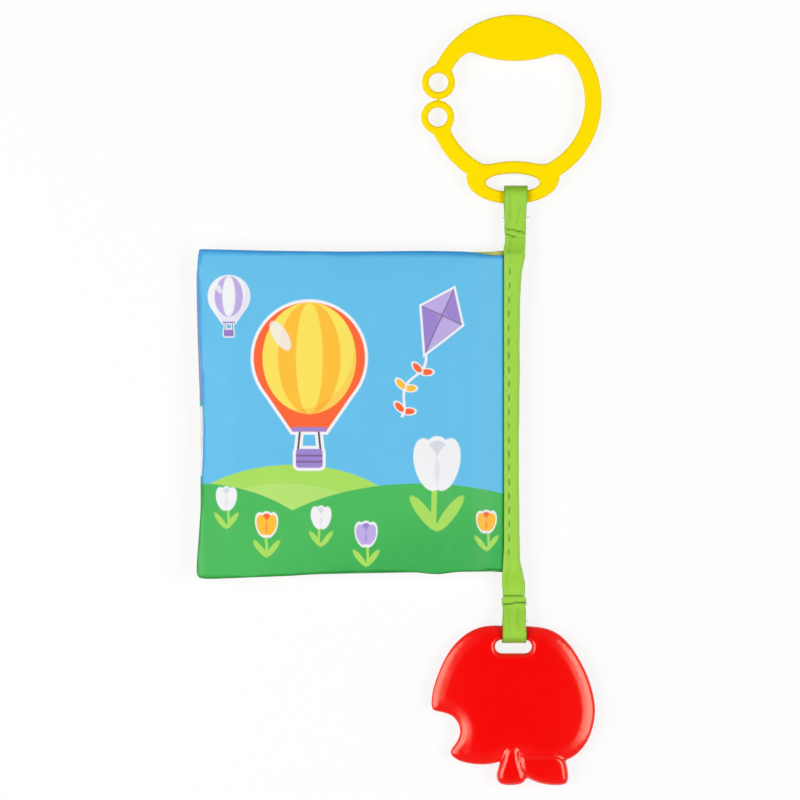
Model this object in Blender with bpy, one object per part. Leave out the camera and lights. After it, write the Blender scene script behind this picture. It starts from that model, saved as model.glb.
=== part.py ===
"""A crinkle cloth book: three padded leaves bound in a fabric spine, whose strap carries a hanging ring
at one end and a fruit-shaped teether at the other.

The book lies flat: +X runs to the spine, +Y to the hanging ring and +Z up, away from the table.
The origin is the middle of the whole object's footprint, at the height of the table.
"""

import math

import bmesh
import bpy
import numpy as np
from mathutils import Vector
from mathutils.geometry import delaunay_2d_cdt

# Clearances
GAP = 0.0003  # between neighbouring pieces
LOOP_CLEARANCE = 0.0008  # between a strap loop and the bar that turns in it
TABLE_CLEARANCE = 0.0003  # under the strap loops

# Layers of a leaf
FABRIC = 0.0005
FILM = 0.0003
WADDING = 0.0012
SEAM_HALF = 0.0006  # half of a leaf's thickness at its sewn edge

# Leaves
LEAF_WIDTH = 0.1307
FRONT_FORE_HEIGHT = 0.1400  # height at the loose edge
FRONT_ROOT_HEIGHT = 0.1342  # height where the leaf enters the binding
REAR_FORE_HEIGHT = 0.1390
REAR_ROOT_HEIGHT = 0.1384
FRONT_DRAWN_IN = 0.0014  # how far the loose edge is pulled in between its corners
REAR_DRAWN_IN = 0.0004
SEAM_RISE = 0.010  # width over which the padding rises from a sewn edge
ROOT_RISE = 0.015  # width over which a leaf thins towards the binding
DRAW_POWER = 1.6
CORNER_POWER = 34
EDGE_STEP_SHARES = (0.0, 0.12, 0.4, 1.0)
FIELD_STEP_SHARES = (0.22, 0.5, 0.78)
ROOT_STEP_SHARES = (0.0, 0.3, 0.6, 1.0)

# Spine binding
TAPE = 0.0008
SPINE_WIDTH = 0.0066
BOUND_DEPTH = 0.0040  # how far the leaves reach into the binding
BINDING_END = 0.0046  # length past the leaves in which the binding closes to the flat strap
SPINE_WIDENING = 0.020  # length over which the binding widens to the strap's width
HINGE_OVER_SPINE = 0.0009
FOLD_STEPS = 8
WIDENING_STATIONS = 5
CLOSING_STATIONS = 6

# Straps
STRAP_WIDTH = 0.0101
RIBBON = 0.0006
UPPER_REACH = 0.0163  # from the bend at the book to the ring's bar
LOWER_REACH = 0.0185  # from the bend at the book to the teether's bar
UPPER_NECK_SHARE = 0.45  # where the ribbon parts into its loop, as a share of the reach
LOWER_NECK_SHARE = 0.36
UPPER_SLACK = 0.00125  # spare length of the loop past the ring's bar
LOWER_STRAP_SHIFT = -0.0008  # the lower strap sits slightly towards the book
LOOP_STEP = math.radians(22)

# Hanging ring
RING_RADIUS = 0.0370
RING_BAND = 0.0072
RING_THICKNESS = 0.0040
RING_EDGE = 0.0012
RING_SHIFT = -0.0004  # the ring's centre against the strap's middle line
RING_FILLET = 0.0024
EYELET_RADIUS = 0.00715
EYELET_HOLE = 0.0041
EYELET_GAP = 0.0004
GAP_ANGLE = math.radians(178.7)
GRIP_DEPTH = 0.0198  # from the ring's outer edge to the lowest point of the grip
GRIP_RADIUS = 0.0466
LOBE_HALF_WIDTH = 0.0197
LOBE_HALF_HEIGHT = 0.01075
LOBE_INSET = 0.0041
LOBE_SHIFT = -0.0008
SLOT_HALF_WIDTH = 0.0115
SLOT_HALF_HEIGHT = 0.00385
RING_BAR = 0.0053  # bar between the strap slot and the lobe's outer edge
SLOT_ROOF = 0.00535
ROOF_RADIUS = 0.0407
RING_STEPS = 76
RING_HALVINGS = 3  # how often a step may be halved where the ring's outline bends
RING_SMOOTHNESS = 0.00012  # the most that the outline may stand off the line of a step
EYELET_END_STEPS = 12
EYELET_HOLE_STEPS = 20
SLOT_STEPS = 32

# Teether
FRUIT_WIDTH = 0.0697
FRUIT_HEIGHT = 0.0592
FRUIT_THICKNESS = 0.0070
FRUIT_EDGE = 0.0085  # width over which the faces round down to the rim
FRUIT_SHIFT = -0.0002  # the fruit's middle against the lower strap's
TEETHER_BAR = 0.0061
TEETHER_SLOT_WIDTH = 0.0155
TEETHER_SLOT_HEIGHT = 0.00565
TEETHER_SLOT_EDGE = 0.0024
TEETHER_SLOT_ROUNDING = 0.99  # of the slot's half height: how round its ends are
RELIEF = 0.0007  # how far the stem and leaf stand over the fruit's faces
STEM_WIDTH = 0.0127
STEM_HEIGHT = 0.0174
STEM_EDGE = 0.0038
LEAF_BLADE_WIDTH = 0.0216
LEAF_BLADE_HEIGHT = 0.0152
LEAF_BLADE_EDGE = 0.0034

# A moulding's half thickness at its rim, and the places of its rows of points, as shares
RIM_SHARE = 0.16
EDGE_ROW_SHARES = (0.1, 0.32, 0.66, 1.0)
NEAREST_SHARE = 0.03  # of the narrowest edge: no two points are nearer
SPACING_SHARE = 0.5  # of a row's distance in: the spacing along the row
ROW_SHARE = 0.9  # of a row's distance in: the most that its spacing may be
CLEAR_SHARE = 0.98  # of a row's distance in: the least distance to any outline

# Outline points, as shares of the width and height around the middle
FRUIT_SHARES = (
    (-0.306, -0.482), (-0.250, -0.495), (-0.190, -0.500), (-0.140, -0.496), (-0.095, -0.482),
    (-0.036, -0.444), (0.030, -0.438), (0.110, -0.470), (0.205, -0.494), (0.315, -0.472), (0.393, -0.420),
    (0.452, -0.333), (0.486, -0.228), (0.500, -0.115), (0.489, -0.002), (0.459, 0.120),
    (0.415, 0.232), (0.356, 0.345), (0.282, 0.434), (0.208, 0.477), (0.134, 0.492),
    (0.040, 0.498), (-0.073, 0.500), (-0.139, 0.500), (-0.213, 0.484), (-0.287, 0.441),
    (-0.361, 0.362), (-0.420, 0.258), (-0.464, 0.137), (-0.490, 0.040), (-0.500, -0.040),
    (-0.498, -0.084), (-0.489, -0.106), (-0.468, -0.116), (-0.437, -0.123), (-0.400, -0.136),
    (-0.372, -0.153), (-0.349, -0.181), (-0.333, -0.214), (-0.326, -0.252), (-0.329, -0.287),
    (-0.339, -0.320), (-0.354, -0.350), (-0.371, -0.377), (-0.383, -0.401), (-0.381, -0.424),
    (-0.366, -0.445), (-0.341, -0.466),
)
STEM_SHARES = (
    (-0.22, 0.48), (0.00, 0.50), (0.24, 0.48), (0.30, 0.31), (0.32, 0.18), (0.37, 0.01), (0.44, -0.15),
    (0.50, -0.30), (0.46, -0.39), (0.35, -0.46), (0.15, -0.495), (-0.12, -0.50), (-0.32, -0.48),
    (-0.45, -0.41), (-0.50, -0.28), (-0.47, -0.14), (-0.39, 0.04), (-0.33, 0.18), (-0.30, 0.31),
)
LEAF_BLADE_SHARES = (
    (-0.46, 0.43), (-0.30, 0.40), (-0.13, 0.36), (0.01, 0.38), (0.11, 0.41), (0.21, 0.415), (0.31, 0.37),
    (0.39, 0.28), (0.45, 0.17), (0.48, 0.02), (0.50, -0.18), (0.495, -0.35), (0.46, -0.45), (0.37, -0.49),
    (0.23, -0.50), (0.07, -0.48), (-0.09, -0.43), (-0.23, -0.35), (-0.33, -0.27), (-0.42, -0.14),
    (-0.47, 0.08), (-0.48, 0.28),
)
STEM_PLACE_SHARES = (-0.0118, -0.4998)  # of the fruit's width and height
LEAF_BLADE_PLACE_SHARES = (0.180, -0.519)

# Heights of the stack
LEAF_THICKNESS = 2 * FABRIC + FILM + WADDING + 3 * GAP
LEAF_PITCH = LEAF_THICKNESS + GAP
ROOT_PITCH = 2 * SEAM_HALF + GAP
STACK_MIDDLE = LEAF_PITCH + LEAF_THICKNESS / 2
CAVITY_HALF = ROOT_PITCH + SEAM_HALF + GAP
BINDING_HALF = CAVITY_HALF + TAPE
HINGE_OFFSET = BINDING_HALF + HINGE_OVER_SPINE

# Lengths along the spine
CAVITY_END = max(FRONT_ROOT_HEIGHT, REAR_ROOT_HEIGHT) / 2 + GAP
SPINE_END = CAVITY_END + BINDING_END
BEND_PLACE = SPINE_END + GAP + RIBBON

# Straps and the bars that turn in their loops
UPPER_LOOP = max(RING_BAR, RING_THICKNESS) / 2 + LOOP_CLEARANCE
LOWER_LOOP = max(TEETHER_BAR, FRUIT_THICKNESS) / 2 + LOOP_CLEARANCE
RING_LEVEL = UPPER_LOOP + RIBBON + TABLE_CLEARANCE
TEETHER_LEVEL = LOWER_LOOP + RIBBON + TABLE_CLEARANCE
STRAP_MIDDLE = STRAP_WIDTH / 2
LOWER_STRAP_MIDDLE = STRAP_MIDDLE + LOWER_STRAP_SHIFT
RING_BAR_PLACE = BEND_PLACE + UPPER_REACH
TEETHER_BAR_PLACE = BEND_PLACE + LOWER_REACH

# Ring, from its centre
EYELET_REACH = RING_RADIUS - RING_BAND / 2
EYELET_TURN = math.asin((EYELET_RADIUS + EYELET_GAP / 2) / EYELET_REACH)
LOBE_PLACE = LOBE_INSET - RING_RADIUS
RING_BAR_Y = LOBE_PLACE - LOBE_HALF_HEIGHT + RING_BAR / 2
SLOT_PLACE = RING_BAR_Y + RING_BAR / 2 + SLOT_HALF_HEIGHT
RING_CENTRE_PLACE = RING_BAR_PLACE - RING_BAR_Y

# Teether, from the fruit's middle
TEETHER_BAR_Y = FRUIT_HEIGHT / 2 - TEETHER_BAR / 2
TEETHER_SLOT_Y = FRUIT_HEIGHT / 2 - TEETHER_BAR - TEETHER_SLOT_HEIGHT / 2
STEM_Y = STEM_PLACE_SHARES[1] * FRUIT_HEIGHT
LEAF_BLADE_Y = LEAF_BLADE_PLACE_SHARES[1] * FRUIT_HEIGHT
TEETHER_LOWEST = min(STEM_Y - STEM_HEIGHT / 2, LEAF_BLADE_Y - LEAF_BLADE_HEIGHT / 2)
TEETHER_CENTRE_PLACE = TEETHER_BAR_PLACE + TEETHER_BAR_Y

# The footprint's middle, from the spine's inner edge and the book's middle
RIGHTMOST = STRAP_MIDDLE + RING_SHIFT + RING_RADIUS
HIGHEST = RING_CENTRE_PLACE + RING_RADIUS
LOWEST = TEETHER_CENTRE_PLACE - TEETHER_LOWEST
FOOTPRINT_MIDDLE = ((RIGHTMOST - LEAF_WIDTH) / 2, (HIGHEST - LOWEST) / 2)


def clear_scene():
    for thing in list(bpy.data.objects):
        bpy.data.objects.remove(thing, do_unlink=True)


def material(name, colour, roughness):
    made = bpy.data.materials.new(name)
    made.use_nodes = True
    shader = made.node_tree.nodes["Principled BSDF"]
    shader.inputs["Base Color"].default_value = (*colour, 1)
    shader.inputs["Roughness"].default_value = roughness
    shader.inputs["Metallic"].default_value = 0
    made.diffuse_color = (*colour, 1)
    return made


def pivot(name, place, parent=None, tilt=0.0):
    empty = bpy.data.objects.new(name, None)
    empty.location = place
    empty.rotation_euler = (tilt, 0, 0)
    empty.parent = parent
    bpy.context.collection.objects.link(empty)
    return empty


def add_mesh(name, points, faces, finish, parent, place=(0, 0, 0), turn=(0, 0, 0), smooth=30):
    """A mesh object with its faces pointing out."""
    mesh = bpy.data.meshes.new(name)
    mesh.from_pydata([tuple(p) for p in points], [], faces)
    work = bmesh.new()
    work.from_mesh(mesh)
    bmesh.ops.recalc_face_normals(work, faces=work.faces)
    work.to_mesh(mesh)
    work.free()
    mesh.shade_smooth()
    mesh.set_sharp_from_angle(angle=math.radians(smooth))
    mesh.materials.append(finish)
    made = bpy.data.objects.new(name, mesh)
    made.location = place
    made.rotation_euler = turn
    made.parent = parent
    bpy.context.collection.objects.link(made)
    return made


def ease(t):
    """A smooth step from 0 to 1."""
    t = min(max(t, 0), 1)
    return t * t * (3 - 2 * t)


def dome(t):
    """The rise of padding from a seam: steep at the seam, level at the end."""
    t = min(max(t, 0), 1)
    return 1 - (1 - t) ** 2


def soft_max(a, b, blend):
    """The larger value, with a fillet where the two meet."""
    near = max(blend - abs(a - b), 0) / blend
    return max(a, b) + near * near * blend / 4


def soft_min(a, b, blend):
    return -soft_max(-a, -b, blend)


# Outlines


def arc(centre, radius, start, end, steps):
    """Points along a circle, both ends included."""
    turns = [start + (end - start) * i / steps for i in range(steps + 1)]
    return [(centre[0] + radius * math.cos(a), centre[1] + radius * math.sin(a)) for a in turns]


def smooth_line(anchors, steps, closed):
    """A curve through the anchors, with steps points to each stretch."""
    count = len(anchors)
    found = []
    for i in range(count if closed else count - 1):
        ids = (i - 1, i, i + 1, i + 2)
        if closed:
            p = [np.array(anchors[j % count]) for j in ids]
        else:
            p = [np.array(anchors[min(max(j, 0), count - 1)]) for j in ids]
        for t in np.arange(steps) / steps:
            swing = (p[2] - p[0]) * t + (2 * p[0] - 5 * p[1] + 4 * p[2] - p[3]) * t**2
            swing += (3 * p[1] - p[0] - 3 * p[2] + p[3]) * t**3
            found.append(tuple(p[1] + swing / 2))
    if not closed:
        found.append(tuple(anchors[-1]))
    return found


def scaled(shares, width, height, place=(0, 0)):
    return [(place[0] + x * width, place[1] + y * height) for x, y in shares]


def rounded_rectangle(width, height, radius, steps=4):
    """An outline of four corner arcs, around the origin."""
    corners = ((1, 1, 0), (-1, 1, 90), (-1, -1, 180), (1, -1, 270))
    found = []
    for x, y, turn in corners:
        centre = (x * (width / 2 - radius), y * (height / 2 - radius))
        found += arc(centre, radius, math.radians(turn), math.radians(turn + 90), steps)
    return found


def outline_distance(points, loop):
    """Each point's distance to a closed outline."""
    start = np.asarray(loop)
    run = np.roll(start, -1, axis=0) - start
    off = points[:, None, :] - start
    along = np.clip((off * run).sum(-1) / (run * run).sum(-1), 0, 1)
    return np.linalg.norm(off - along[..., None] * run, axis=-1).min(axis=1)


def is_inside(points, loop):
    """Whether each point lies inside a closed outline, by the edges crossed to its right."""
    start = np.asarray(loop)
    end = np.roll(start, -1, axis=0)
    x, y = points[:, :1], points[:, 1:]
    crosses = (start[:, 1] > y) != (end[:, 1] > y)
    rise = np.where(end[:, 1] == start[:, 1], 1, end[:, 1] - start[:, 1])
    meets = start[:, 0] + (y - start[:, 1]) * (end[:, 0] - start[:, 0]) / rise
    return (crosses & (meets > x)).sum(axis=1) % 2 == 1


def rows_along(loop, edge):
    """Rows of points beside an outline, on both of its sides, at the edge's row distances."""
    points = np.asarray(loop)
    run = np.roll(points, -1, axis=0) - np.roll(points, 1, axis=0)
    side = np.stack((-run[:, 1], run[:, 0]), axis=1) / np.linalg.norm(run, axis=1)[:, None]
    for share in EDGE_ROW_SHARES:
        for way in (1, -1):
            yield points + side * (way * share * edge), share * edge


def filled(spots, loops, unit):
    """Triangles over the inside of the first loop, less the other loops, whose points lead the spots."""
    sides, first = [], 0
    for loop in loops:
        sides += [(first + i, first + (i + 1) % len(loop)) for i in range(len(loop))]
        first += len(loop)
    plan = delaunay_2d_cdt([Vector(p / unit) for p in spots], sides, [], 0, 1e-5)
    places = np.array([tuple(v) for v in plan[0]]) * unit
    cells = [tuple(f) for f in plan[2] if len(f) == 3]
    centres = np.array([places[list(f)].mean(axis=0) for f in cells])
    good = is_inside(centres, loops[0])
    for hole in loops[1:]:
        good &= ~is_inside(centres, hole)
    return places, [f for f, keep in zip(cells, good) if keep]


def two_sided(places, cells, height):
    """Points and faces of a solid: the cells above and below, and walls along their border."""
    count = len(places)
    points = np.concatenate((np.column_stack((places, height)), np.column_stack((places, -height))))
    faces = cells + [tuple(count + i for i in reversed(f)) for f in cells]
    border = {}
    for f in cells:
        for pair in ((f[0], f[1]), (f[1], f[2]), (f[2], f[0])):
            border[frozenset(pair)] = None if frozenset(pair) in border else pair
    faces += [(b, a, count + a, count + b) for a, b in (pair for pair in border.values() if pair)]
    return points, faces


def moulding(name, outline, holes, thickness, edges, finish, parent, **placing):
    """A flat moulding whose thickness rises from a narrow rim, by the distance to its outlines."""
    loops = [outline, *holes]
    spots = [np.asarray(loop) for loop in loops]
    nearest = NEAREST_SHARE * min(edges)
    for loop, edge in zip(loops, edges):
        for row, reach in rows_along(loop, edge):
            good = is_inside(row, outline)
            for hole in holes:
                good &= ~is_inside(row, hole)
            for other in loops:
                good &= outline_distance(row, other) > CLEAR_SHARE * reach
            spacing = min(max(nearest, SPACING_SHARE * reach), ROW_SHARE * reach)
            taken = np.concatenate(spots)
            for spot in row[good]:
                if np.linalg.norm(taken - spot, axis=1).min() > spacing:
                    spots.append(spot[None, :])
                    taken = np.concatenate((taken, spot[None, :]))
    places, cells = filled(np.concatenate(spots), loops, thickness)
    height = np.ones(len(places))
    for loop, edge in zip(loops, edges):
        rise = np.clip(outline_distance(places, loop) / edge, 0, 1)
        height = np.minimum(height, RIM_SHARE + (1 - RIM_SHARE) * np.sqrt(1 - (1 - rise) ** 2))
    points, faces = two_sided(places, cells, height * thickness / 2)
    return add_mesh(name, points, faces, finish, parent, **placing)


# Leaves


def leaf_grid(fore_height, root_height, drawn_in):
    """Rows of points over a leaf, from its loose edge to the binding: place, and its distances in."""
    rise = [s * SEAM_RISE for s in EDGE_STEP_SHARES]
    field = LEAF_WIDTH - SEAM_RISE - ROOT_RISE
    columns = rise + [SEAM_RISE + s * field for s in FIELD_STEP_SHARES]
    columns += [LEAF_WIDTH - GAP / 2 - s * ROOT_RISE for s in reversed(ROOT_STEP_SHARES)]
    shares = [s * SEAM_RISE / fore_height for s in EDGE_STEP_SHARES]
    inner = [shares[-1] + s * (1 - 2 * shares[-1]) for s in FIELD_STEP_SHARES]
    rows = shares + inner + [1 - s for s in reversed(shares)]
    grid = []
    for column in columns:
        out = 1 - column / LEAF_WIDTH
        half = (root_height + (fore_height - root_height) * out**DRAW_POWER) / 2
        line = []
        for v in rows:
            across = 2 * v - 1
            near = max(out, abs(across))
            rounding = near / (out**CORNER_POWER + abs(across) ** CORNER_POWER) ** (1 / CORNER_POWER)
            pull = drawn_in * math.sin(math.pi * v) * out
            x = (pull - LEAF_WIDTH * out) * rounding
            y = half * across * rounding
            edge = min(column, half * (1 - abs(across)))
            line.append((x, y, edge, LEAF_WIDTH - column))
        grid.append(line)
    return grid


def leaf_half_thickness(edge, root):
    """Half of a leaf's thickness, by the distances to its sewn edge and to the binding."""
    full = LEAF_THICKNESS / 2 - SEAM_HALF
    return SEAM_HALF + full * min(dome(edge / SEAM_RISE), ease(root / ROOT_RISE))


def leaf_level(order, root):
    """A leaf's middle height against the middle leaf's: it nears that towards the binding."""
    return order * (ROOT_PITCH + (LEAF_PITCH - ROOT_PITCH) * ease(root / ROOT_RISE))


def leaf_fabric(name, grid, order, side, finish, parent):
    """One printed fabric panel, a thin crowned sheet from seam to seam."""
    outer, inner = [], []
    for line in grid:
        for x, y, edge, root in line:
            half = leaf_half_thickness(edge, root)
            level = leaf_level(order, root)
            outer.append((x, y, level + side * half))
            inner.append((x, y, level + side * max(half - FABRIC, GAP / 2)))
    rows, columns = len(grid), len(grid[0])
    count = rows * columns
    faces = []
    for i in range(rows - 1):
        for j in range(columns - 1):
            a = i * columns + j
            quad = (a, a + 1, a + columns + 1, a + columns)
            faces.append(quad)
            faces.append(tuple(count + k for k in reversed(quad)))
    rim = [j for j in range(columns)]
    rim += [i * columns + columns - 1 for i in range(1, rows)]
    rim += [(rows - 1) * columns + j for j in range(columns - 2, -1, -1)]
    rim += [i * columns for i in range(rows - 2, 0, -1)]
    for a, b in zip(rim, rim[1:] + rim[:1]):
        faces.append((b, a, count + a, count + b))
    return add_mesh(name, outer + inner, faces, finish, parent, (0, 0, -parent.location.z + STACK_MIDDLE))


def leaf(name, order, sizes, hinge, finishes):
    """A leaf: two fabric panels, and between them the crinkle film over a sheet of wadding."""
    grid = leaf_grid(*sizes)
    leaf_fabric(name + "_front_fabric", grid, order, 1, finishes["print"], hinge)
    leaf_fabric(name + "_back_fabric", grid, order, -1, finishes["print"], hinge)
    width = LEAF_WIDTH - SEAM_RISE - ROOT_RISE
    height = min(sizes[:2]) - 2 * SEAM_RISE
    middle = ROOT_RISE + width / 2
    outline = rounded_rectangle(width, height, SEAM_RISE / 2)
    floor = STACK_MIDDLE - hinge.location.z + order * LEAF_PITCH - LEAF_THICKNESS / 2
    wadding = floor + FABRIC + GAP + WADDING / 2
    film = wadding + WADDING / 2 + GAP + FILM / 2
    for kind, thickness, level in (("wadding", WADDING, wadding), ("crinkle_film", FILM, film)):
        finish = finishes[kind]
        place = (-middle, 0, level)
        moulding(name + "_" + kind, outline, [], thickness, [thickness / 2], finish, hinge, place=place)


def bound_edge(name, order, length, finish, book):
    """The flat sewn edge of a leaf inside the binding."""
    outline = rounded_rectangle(BOUND_DEPTH, length, GAP)
    place = (GAP / 2 + BOUND_DEPTH / 2, 0, STACK_MIDDLE + order * ROOT_PITCH)
    moulding(name, outline, [], 2 * SEAM_HALF, [GAP], finish, book, place=place)


# Spine and straps


def spine_section(along):
    """Width and half height of the folded binding at a place along the spine."""
    widening = ease((along - SPINE_END + SPINE_WIDENING) / SPINE_WIDENING)
    width = SPINE_WIDTH + (STRAP_WIDTH - SPINE_WIDTH) * widening
    closing = ease((along - CAVITY_END - TAPE) / (BINDING_END - TAPE))
    half = BINDING_HALF + (RIBBON - BINDING_HALF) * closing
    shift = widening * LOWER_STRAP_SHIFT
    return width, half, shift


def spine_binding(finish, book):
    """Tape folded round the bound edges: a loft along the spine, hollowed for the leaves."""
    opening = [i / WIDENING_STATIONS for i in range(WIDENING_STATIONS - 1)]
    widening = [SPINE_END - SPINE_WIDENING * (1 - share) for share in opening]
    ending = [i / CLOSING_STATIONS for i in range(CLOSING_STATIONS + 1)]
    closing = [CAVITY_END + TAPE + (BINDING_END - TAPE) * share for share in ending]
    upper = widening + closing
    stations = [-y for y in reversed(upper)] + [0] + upper
    points, faces = [], []
    for y in stations:
        width, half, shift = spine_section(abs(y))
        left = shift if y < 0 else 0
        ring = [(left, -half)]
        ring += arc((left + width - half, 0), half, -math.pi / 2, math.pi / 2, FOLD_STEPS)
        ring.append((left, half))
        points += [(x, y, z) for x, z in ring]
    size = FOLD_STEPS + 3
    for i in range(len(stations) - 1):
        for j in range(size):
            a, b = i * size + j, i * size + (j + 1) % size
            faces.append((a, b, b + size, a + size))
    faces.append(tuple(reversed(range(size))))
    faces.append(tuple(range(len(points) - size, len(points))))
    made = add_mesh("spine_binding", points, faces, finish, book, (0, 0, STACK_MIDDLE))

    across = (-TAPE, BOUND_DEPTH + GAP / 2 + GAP)
    along, up = (-CAVITY_END, CAVITY_END), (-CAVITY_HALF, CAVITY_HALF)
    corners = [(x, y, z) for x in across for y in along for z in up]
    box_faces = [(0, 1, 3, 2), (4, 6, 7, 5), (0, 4, 5, 1), (2, 3, 7, 6), (0, 2, 6, 4), (1, 5, 7, 3)]
    cutter = add_mesh("leaf_cavity", corners, box_faces, finish, book, (0, 0, STACK_MIDDLE))
    cutter.hide_render = True
    cutter.display_type = "WIRE"
    cut = made.modifiers.new("leaf_cavity", "BOOLEAN")
    cut.object = cutter
    cut.operation = "DIFFERENCE"
    return made


def loop_outline(circles, has_neck):
    """The outline round circles along the strap. With a neck, the first is the ribbon's own width."""
    upper = []
    for i, (place, radius) in enumerate(circles):
        before, after = math.pi, 0.0
        if i:
            last_place, last_radius = circles[i - 1]
            before = math.acos(-(radius - last_radius) / (place - last_place))
        if i + 1 < len(circles):
            next_place, next_radius = circles[i + 1]
            after = math.acos(-(next_radius - radius) / (next_place - place))
        if has_neck and not i:
            upper += arc((0, 0), radius, math.pi, math.pi / 2, 4) + [(place, radius)]
        else:
            upper += arc((place, 0), radius, before, after, max(1, round((before - after) / LOOP_STEP)))
    lower = [(x, -y) for x, y in reversed(upper[1:-1])]
    return upper + lower


def without_repeats(points):
    kept = []
    for p in points:
        if not kept or math.dist(p, kept[-1]) > GAP / 10:
            kept.append(p)
    return kept


def strap(name, reach, neck_share, loop, slack, way, finish, bend):
    """A doubled ribbon that parts into a loop round a bar."""
    neck = neck_share * reach
    inner = [(neck + 2 * RIBBON, RIBBON / 4), (reach, loop)]
    outer = [(neck, RIBBON), (reach, loop + RIBBON)]
    if slack:
        inner.append((reach + slack, loop))
        outer.append((reach + slack, loop + RIBBON))
    outline = without_repeats(loop_outline(outer, True))
    hole = without_repeats(loop_outline(inner, False))
    turn = (math.pi / 2, 0, way * math.pi / 2)
    return extrusion(name, outline, hole, STRAP_WIDTH, finish, bend, turn)


def extrusion(name, outline, hole, width, finish, parent, turn):
    """A straight prism of an outline with one hole, centred across its width."""
    places, cells = filled(np.array(outline + hole), [outline, hole], RIBBON)
    points, faces = two_sided(places, cells, np.full(len(places), width / 2))
    return add_mesh(name, points, faces, finish, parent, turn=turn)


# Hanging ring


def crossings(angle, centre, half_width, half_height):
    """Where a ray from the ring's centre enters and leaves an ellipse, or None."""
    ux, uy = math.cos(angle) / half_width, math.sin(angle) / half_height
    cx, cy = centre[0] / half_width, centre[1] / half_height
    a, b, c = ux * ux + uy * uy, ux * cx + uy * cy, cx * cx + cy * cy - 1
    inside = b * b - a * c
    if inside < 0 or b < 0:
        return None
    return (b - math.sqrt(inside)) / a, (b + math.sqrt(inside)) / a


def ring_line(turns, reach):
    """Points at the reach from the ring's centre, with more of them where their line bends."""

    def spot(turn):
        return reach(turn) * np.array((math.cos(turn), math.sin(turn)))

    for _ in range(RING_HALVINGS):
        finer = turns[:1]
        for start, end in zip(turns, turns[1:]):
            middle = (start + end) / 2
            stand_off = spot(middle) - (spot(start) + spot(end)) / 2
            if np.linalg.norm(stand_off) > RING_SMOOTHNESS:
                finer.append(middle)
            finer.append(end)
        turns = finer
    return [tuple(spot(turn)) for turn in turns]


def ring_outline():
    """The ring's band with its grip, strap lobe and two eyelet ends, around its centre."""
    high, low = GAP_ANGLE - EYELET_TURN, GAP_ANGLE + EYELET_TURN - 2 * math.pi
    eyelets = [(EYELET_REACH * math.cos(a), EYELET_REACH * math.sin(a)) for a in (high, low)]
    eyes = [(centre, EYELET_RADIUS, EYELET_RADIUS) for centre in eyelets]
    lobe = ((LOBE_SHIFT, LOBE_PLACE), LOBE_HALF_WIDTH, LOBE_HALF_HEIGHT)
    grip = ((0, RING_RADIUS - GRIP_DEPTH + GRIP_RADIUS), GRIP_RADIUS, GRIP_RADIUS)
    roof_top = SLOT_PLACE + SLOT_HALF_HEIGHT + SLOT_ROOF
    roof = ((0, roof_top - ROOF_RADIUS), ROOF_RADIUS, ROOF_RADIUS)

    def far(turn):
        found = RING_RADIUS
        for hit in (crossings(turn, *shape) for shape in (lobe, *eyes)):
            found = soft_max(found, hit[1], RING_FILLET) if hit else found
        return found

    def near(turn):
        found = RING_RADIUS - RING_BAND
        for hit in (crossings(turn, *shape) for shape in (grip, roof, *eyes)):
            found = soft_min(found, hit[0], RING_FILLET) if hit else found
        return found

    turns = [high + (low - high) * i / RING_STEPS for i in range(RING_STEPS + 1)]
    low_end = arc(eyelets[1], EYELET_RADIUS, low, low - math.pi, EYELET_END_STEPS)[1:-1]
    high_end = arc(eyelets[0], EYELET_RADIUS, high + math.pi, high, EYELET_END_STEPS)[1:-1]
    return ring_line(turns, far) + low_end + ring_line(turns, near)[::-1] + high_end, eyelets


def hanging_ring(finish, bar):
    outline, eyelets = ring_outline()
    holes = [arc(centre, EYELET_HOLE, 0, 2 * math.pi, EYELET_HOLE_STEPS)[:-1] for centre in eyelets]
    round_slot = arc((0, 0), 1, 0, 2 * math.pi, SLOT_STEPS)[:-1]
    holes.append(scaled(round_slot, SLOT_HALF_WIDTH, SLOT_HALF_HEIGHT, (LOBE_SHIFT, SLOT_PLACE)))
    edges = [RING_EDGE] * (1 + len(holes))
    place = (RING_SHIFT, -RING_BAR_Y, 0)
    return moulding("hanging_ring", outline, holes, RING_THICKNESS, edges, finish, bar, place=place)


# Teether


def teether(finish, bar):
    """One moulding: the bitten fruit with its strap slot, joined to a raised stem and leaf."""
    outline = smooth_line(scaled(FRUIT_SHARES, FRUIT_WIDTH, FRUIT_HEIGHT), 2, True)
    rounding = TEETHER_SLOT_ROUNDING * TEETHER_SLOT_HEIGHT / 2
    slot = rounded_rectangle(TEETHER_SLOT_WIDTH, TEETHER_SLOT_HEIGHT, rounding)
    slot = [(x, y + TEETHER_SLOT_Y) for x, y in slot]
    place = (FRUIT_SHIFT, -TEETHER_BAR_Y, 0)
    edges = [FRUIT_EDGE, TEETHER_SLOT_EDGE]
    fruit = moulding("apple_teether", outline, [slot], FRUIT_THICKNESS, edges, finish, bar, place=place)
    thickness = FRUIT_THICKNESS + 2 * RELIEF
    stem = scaled(STEM_SHARES, STEM_WIDTH, STEM_HEIGHT, (STEM_PLACE_SHARES[0] * FRUIT_WIDTH, STEM_Y))
    blade_middle = (LEAF_BLADE_PLACE_SHARES[0] * FRUIT_WIDTH, LEAF_BLADE_Y)
    blade = scaled(LEAF_BLADE_SHARES, LEAF_BLADE_WIDTH, LEAF_BLADE_HEIGHT, blade_middle)
    for name, anchors, edge in (("stem", stem, STEM_EDGE), ("leaf_blade", blade, LEAF_BLADE_EDGE)):
        raised = smooth_line(anchors, 2, True)
        relief = moulding(name, raised, [], thickness, [edge], finish, bar, place=place)
        relief.hide_render = True
        relief.display_type = "WIRE"
        join = fruit.modifiers.new(name, "BOOLEAN")
        join.object = relief
        join.operation = "UNION"
    return fruit


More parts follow.
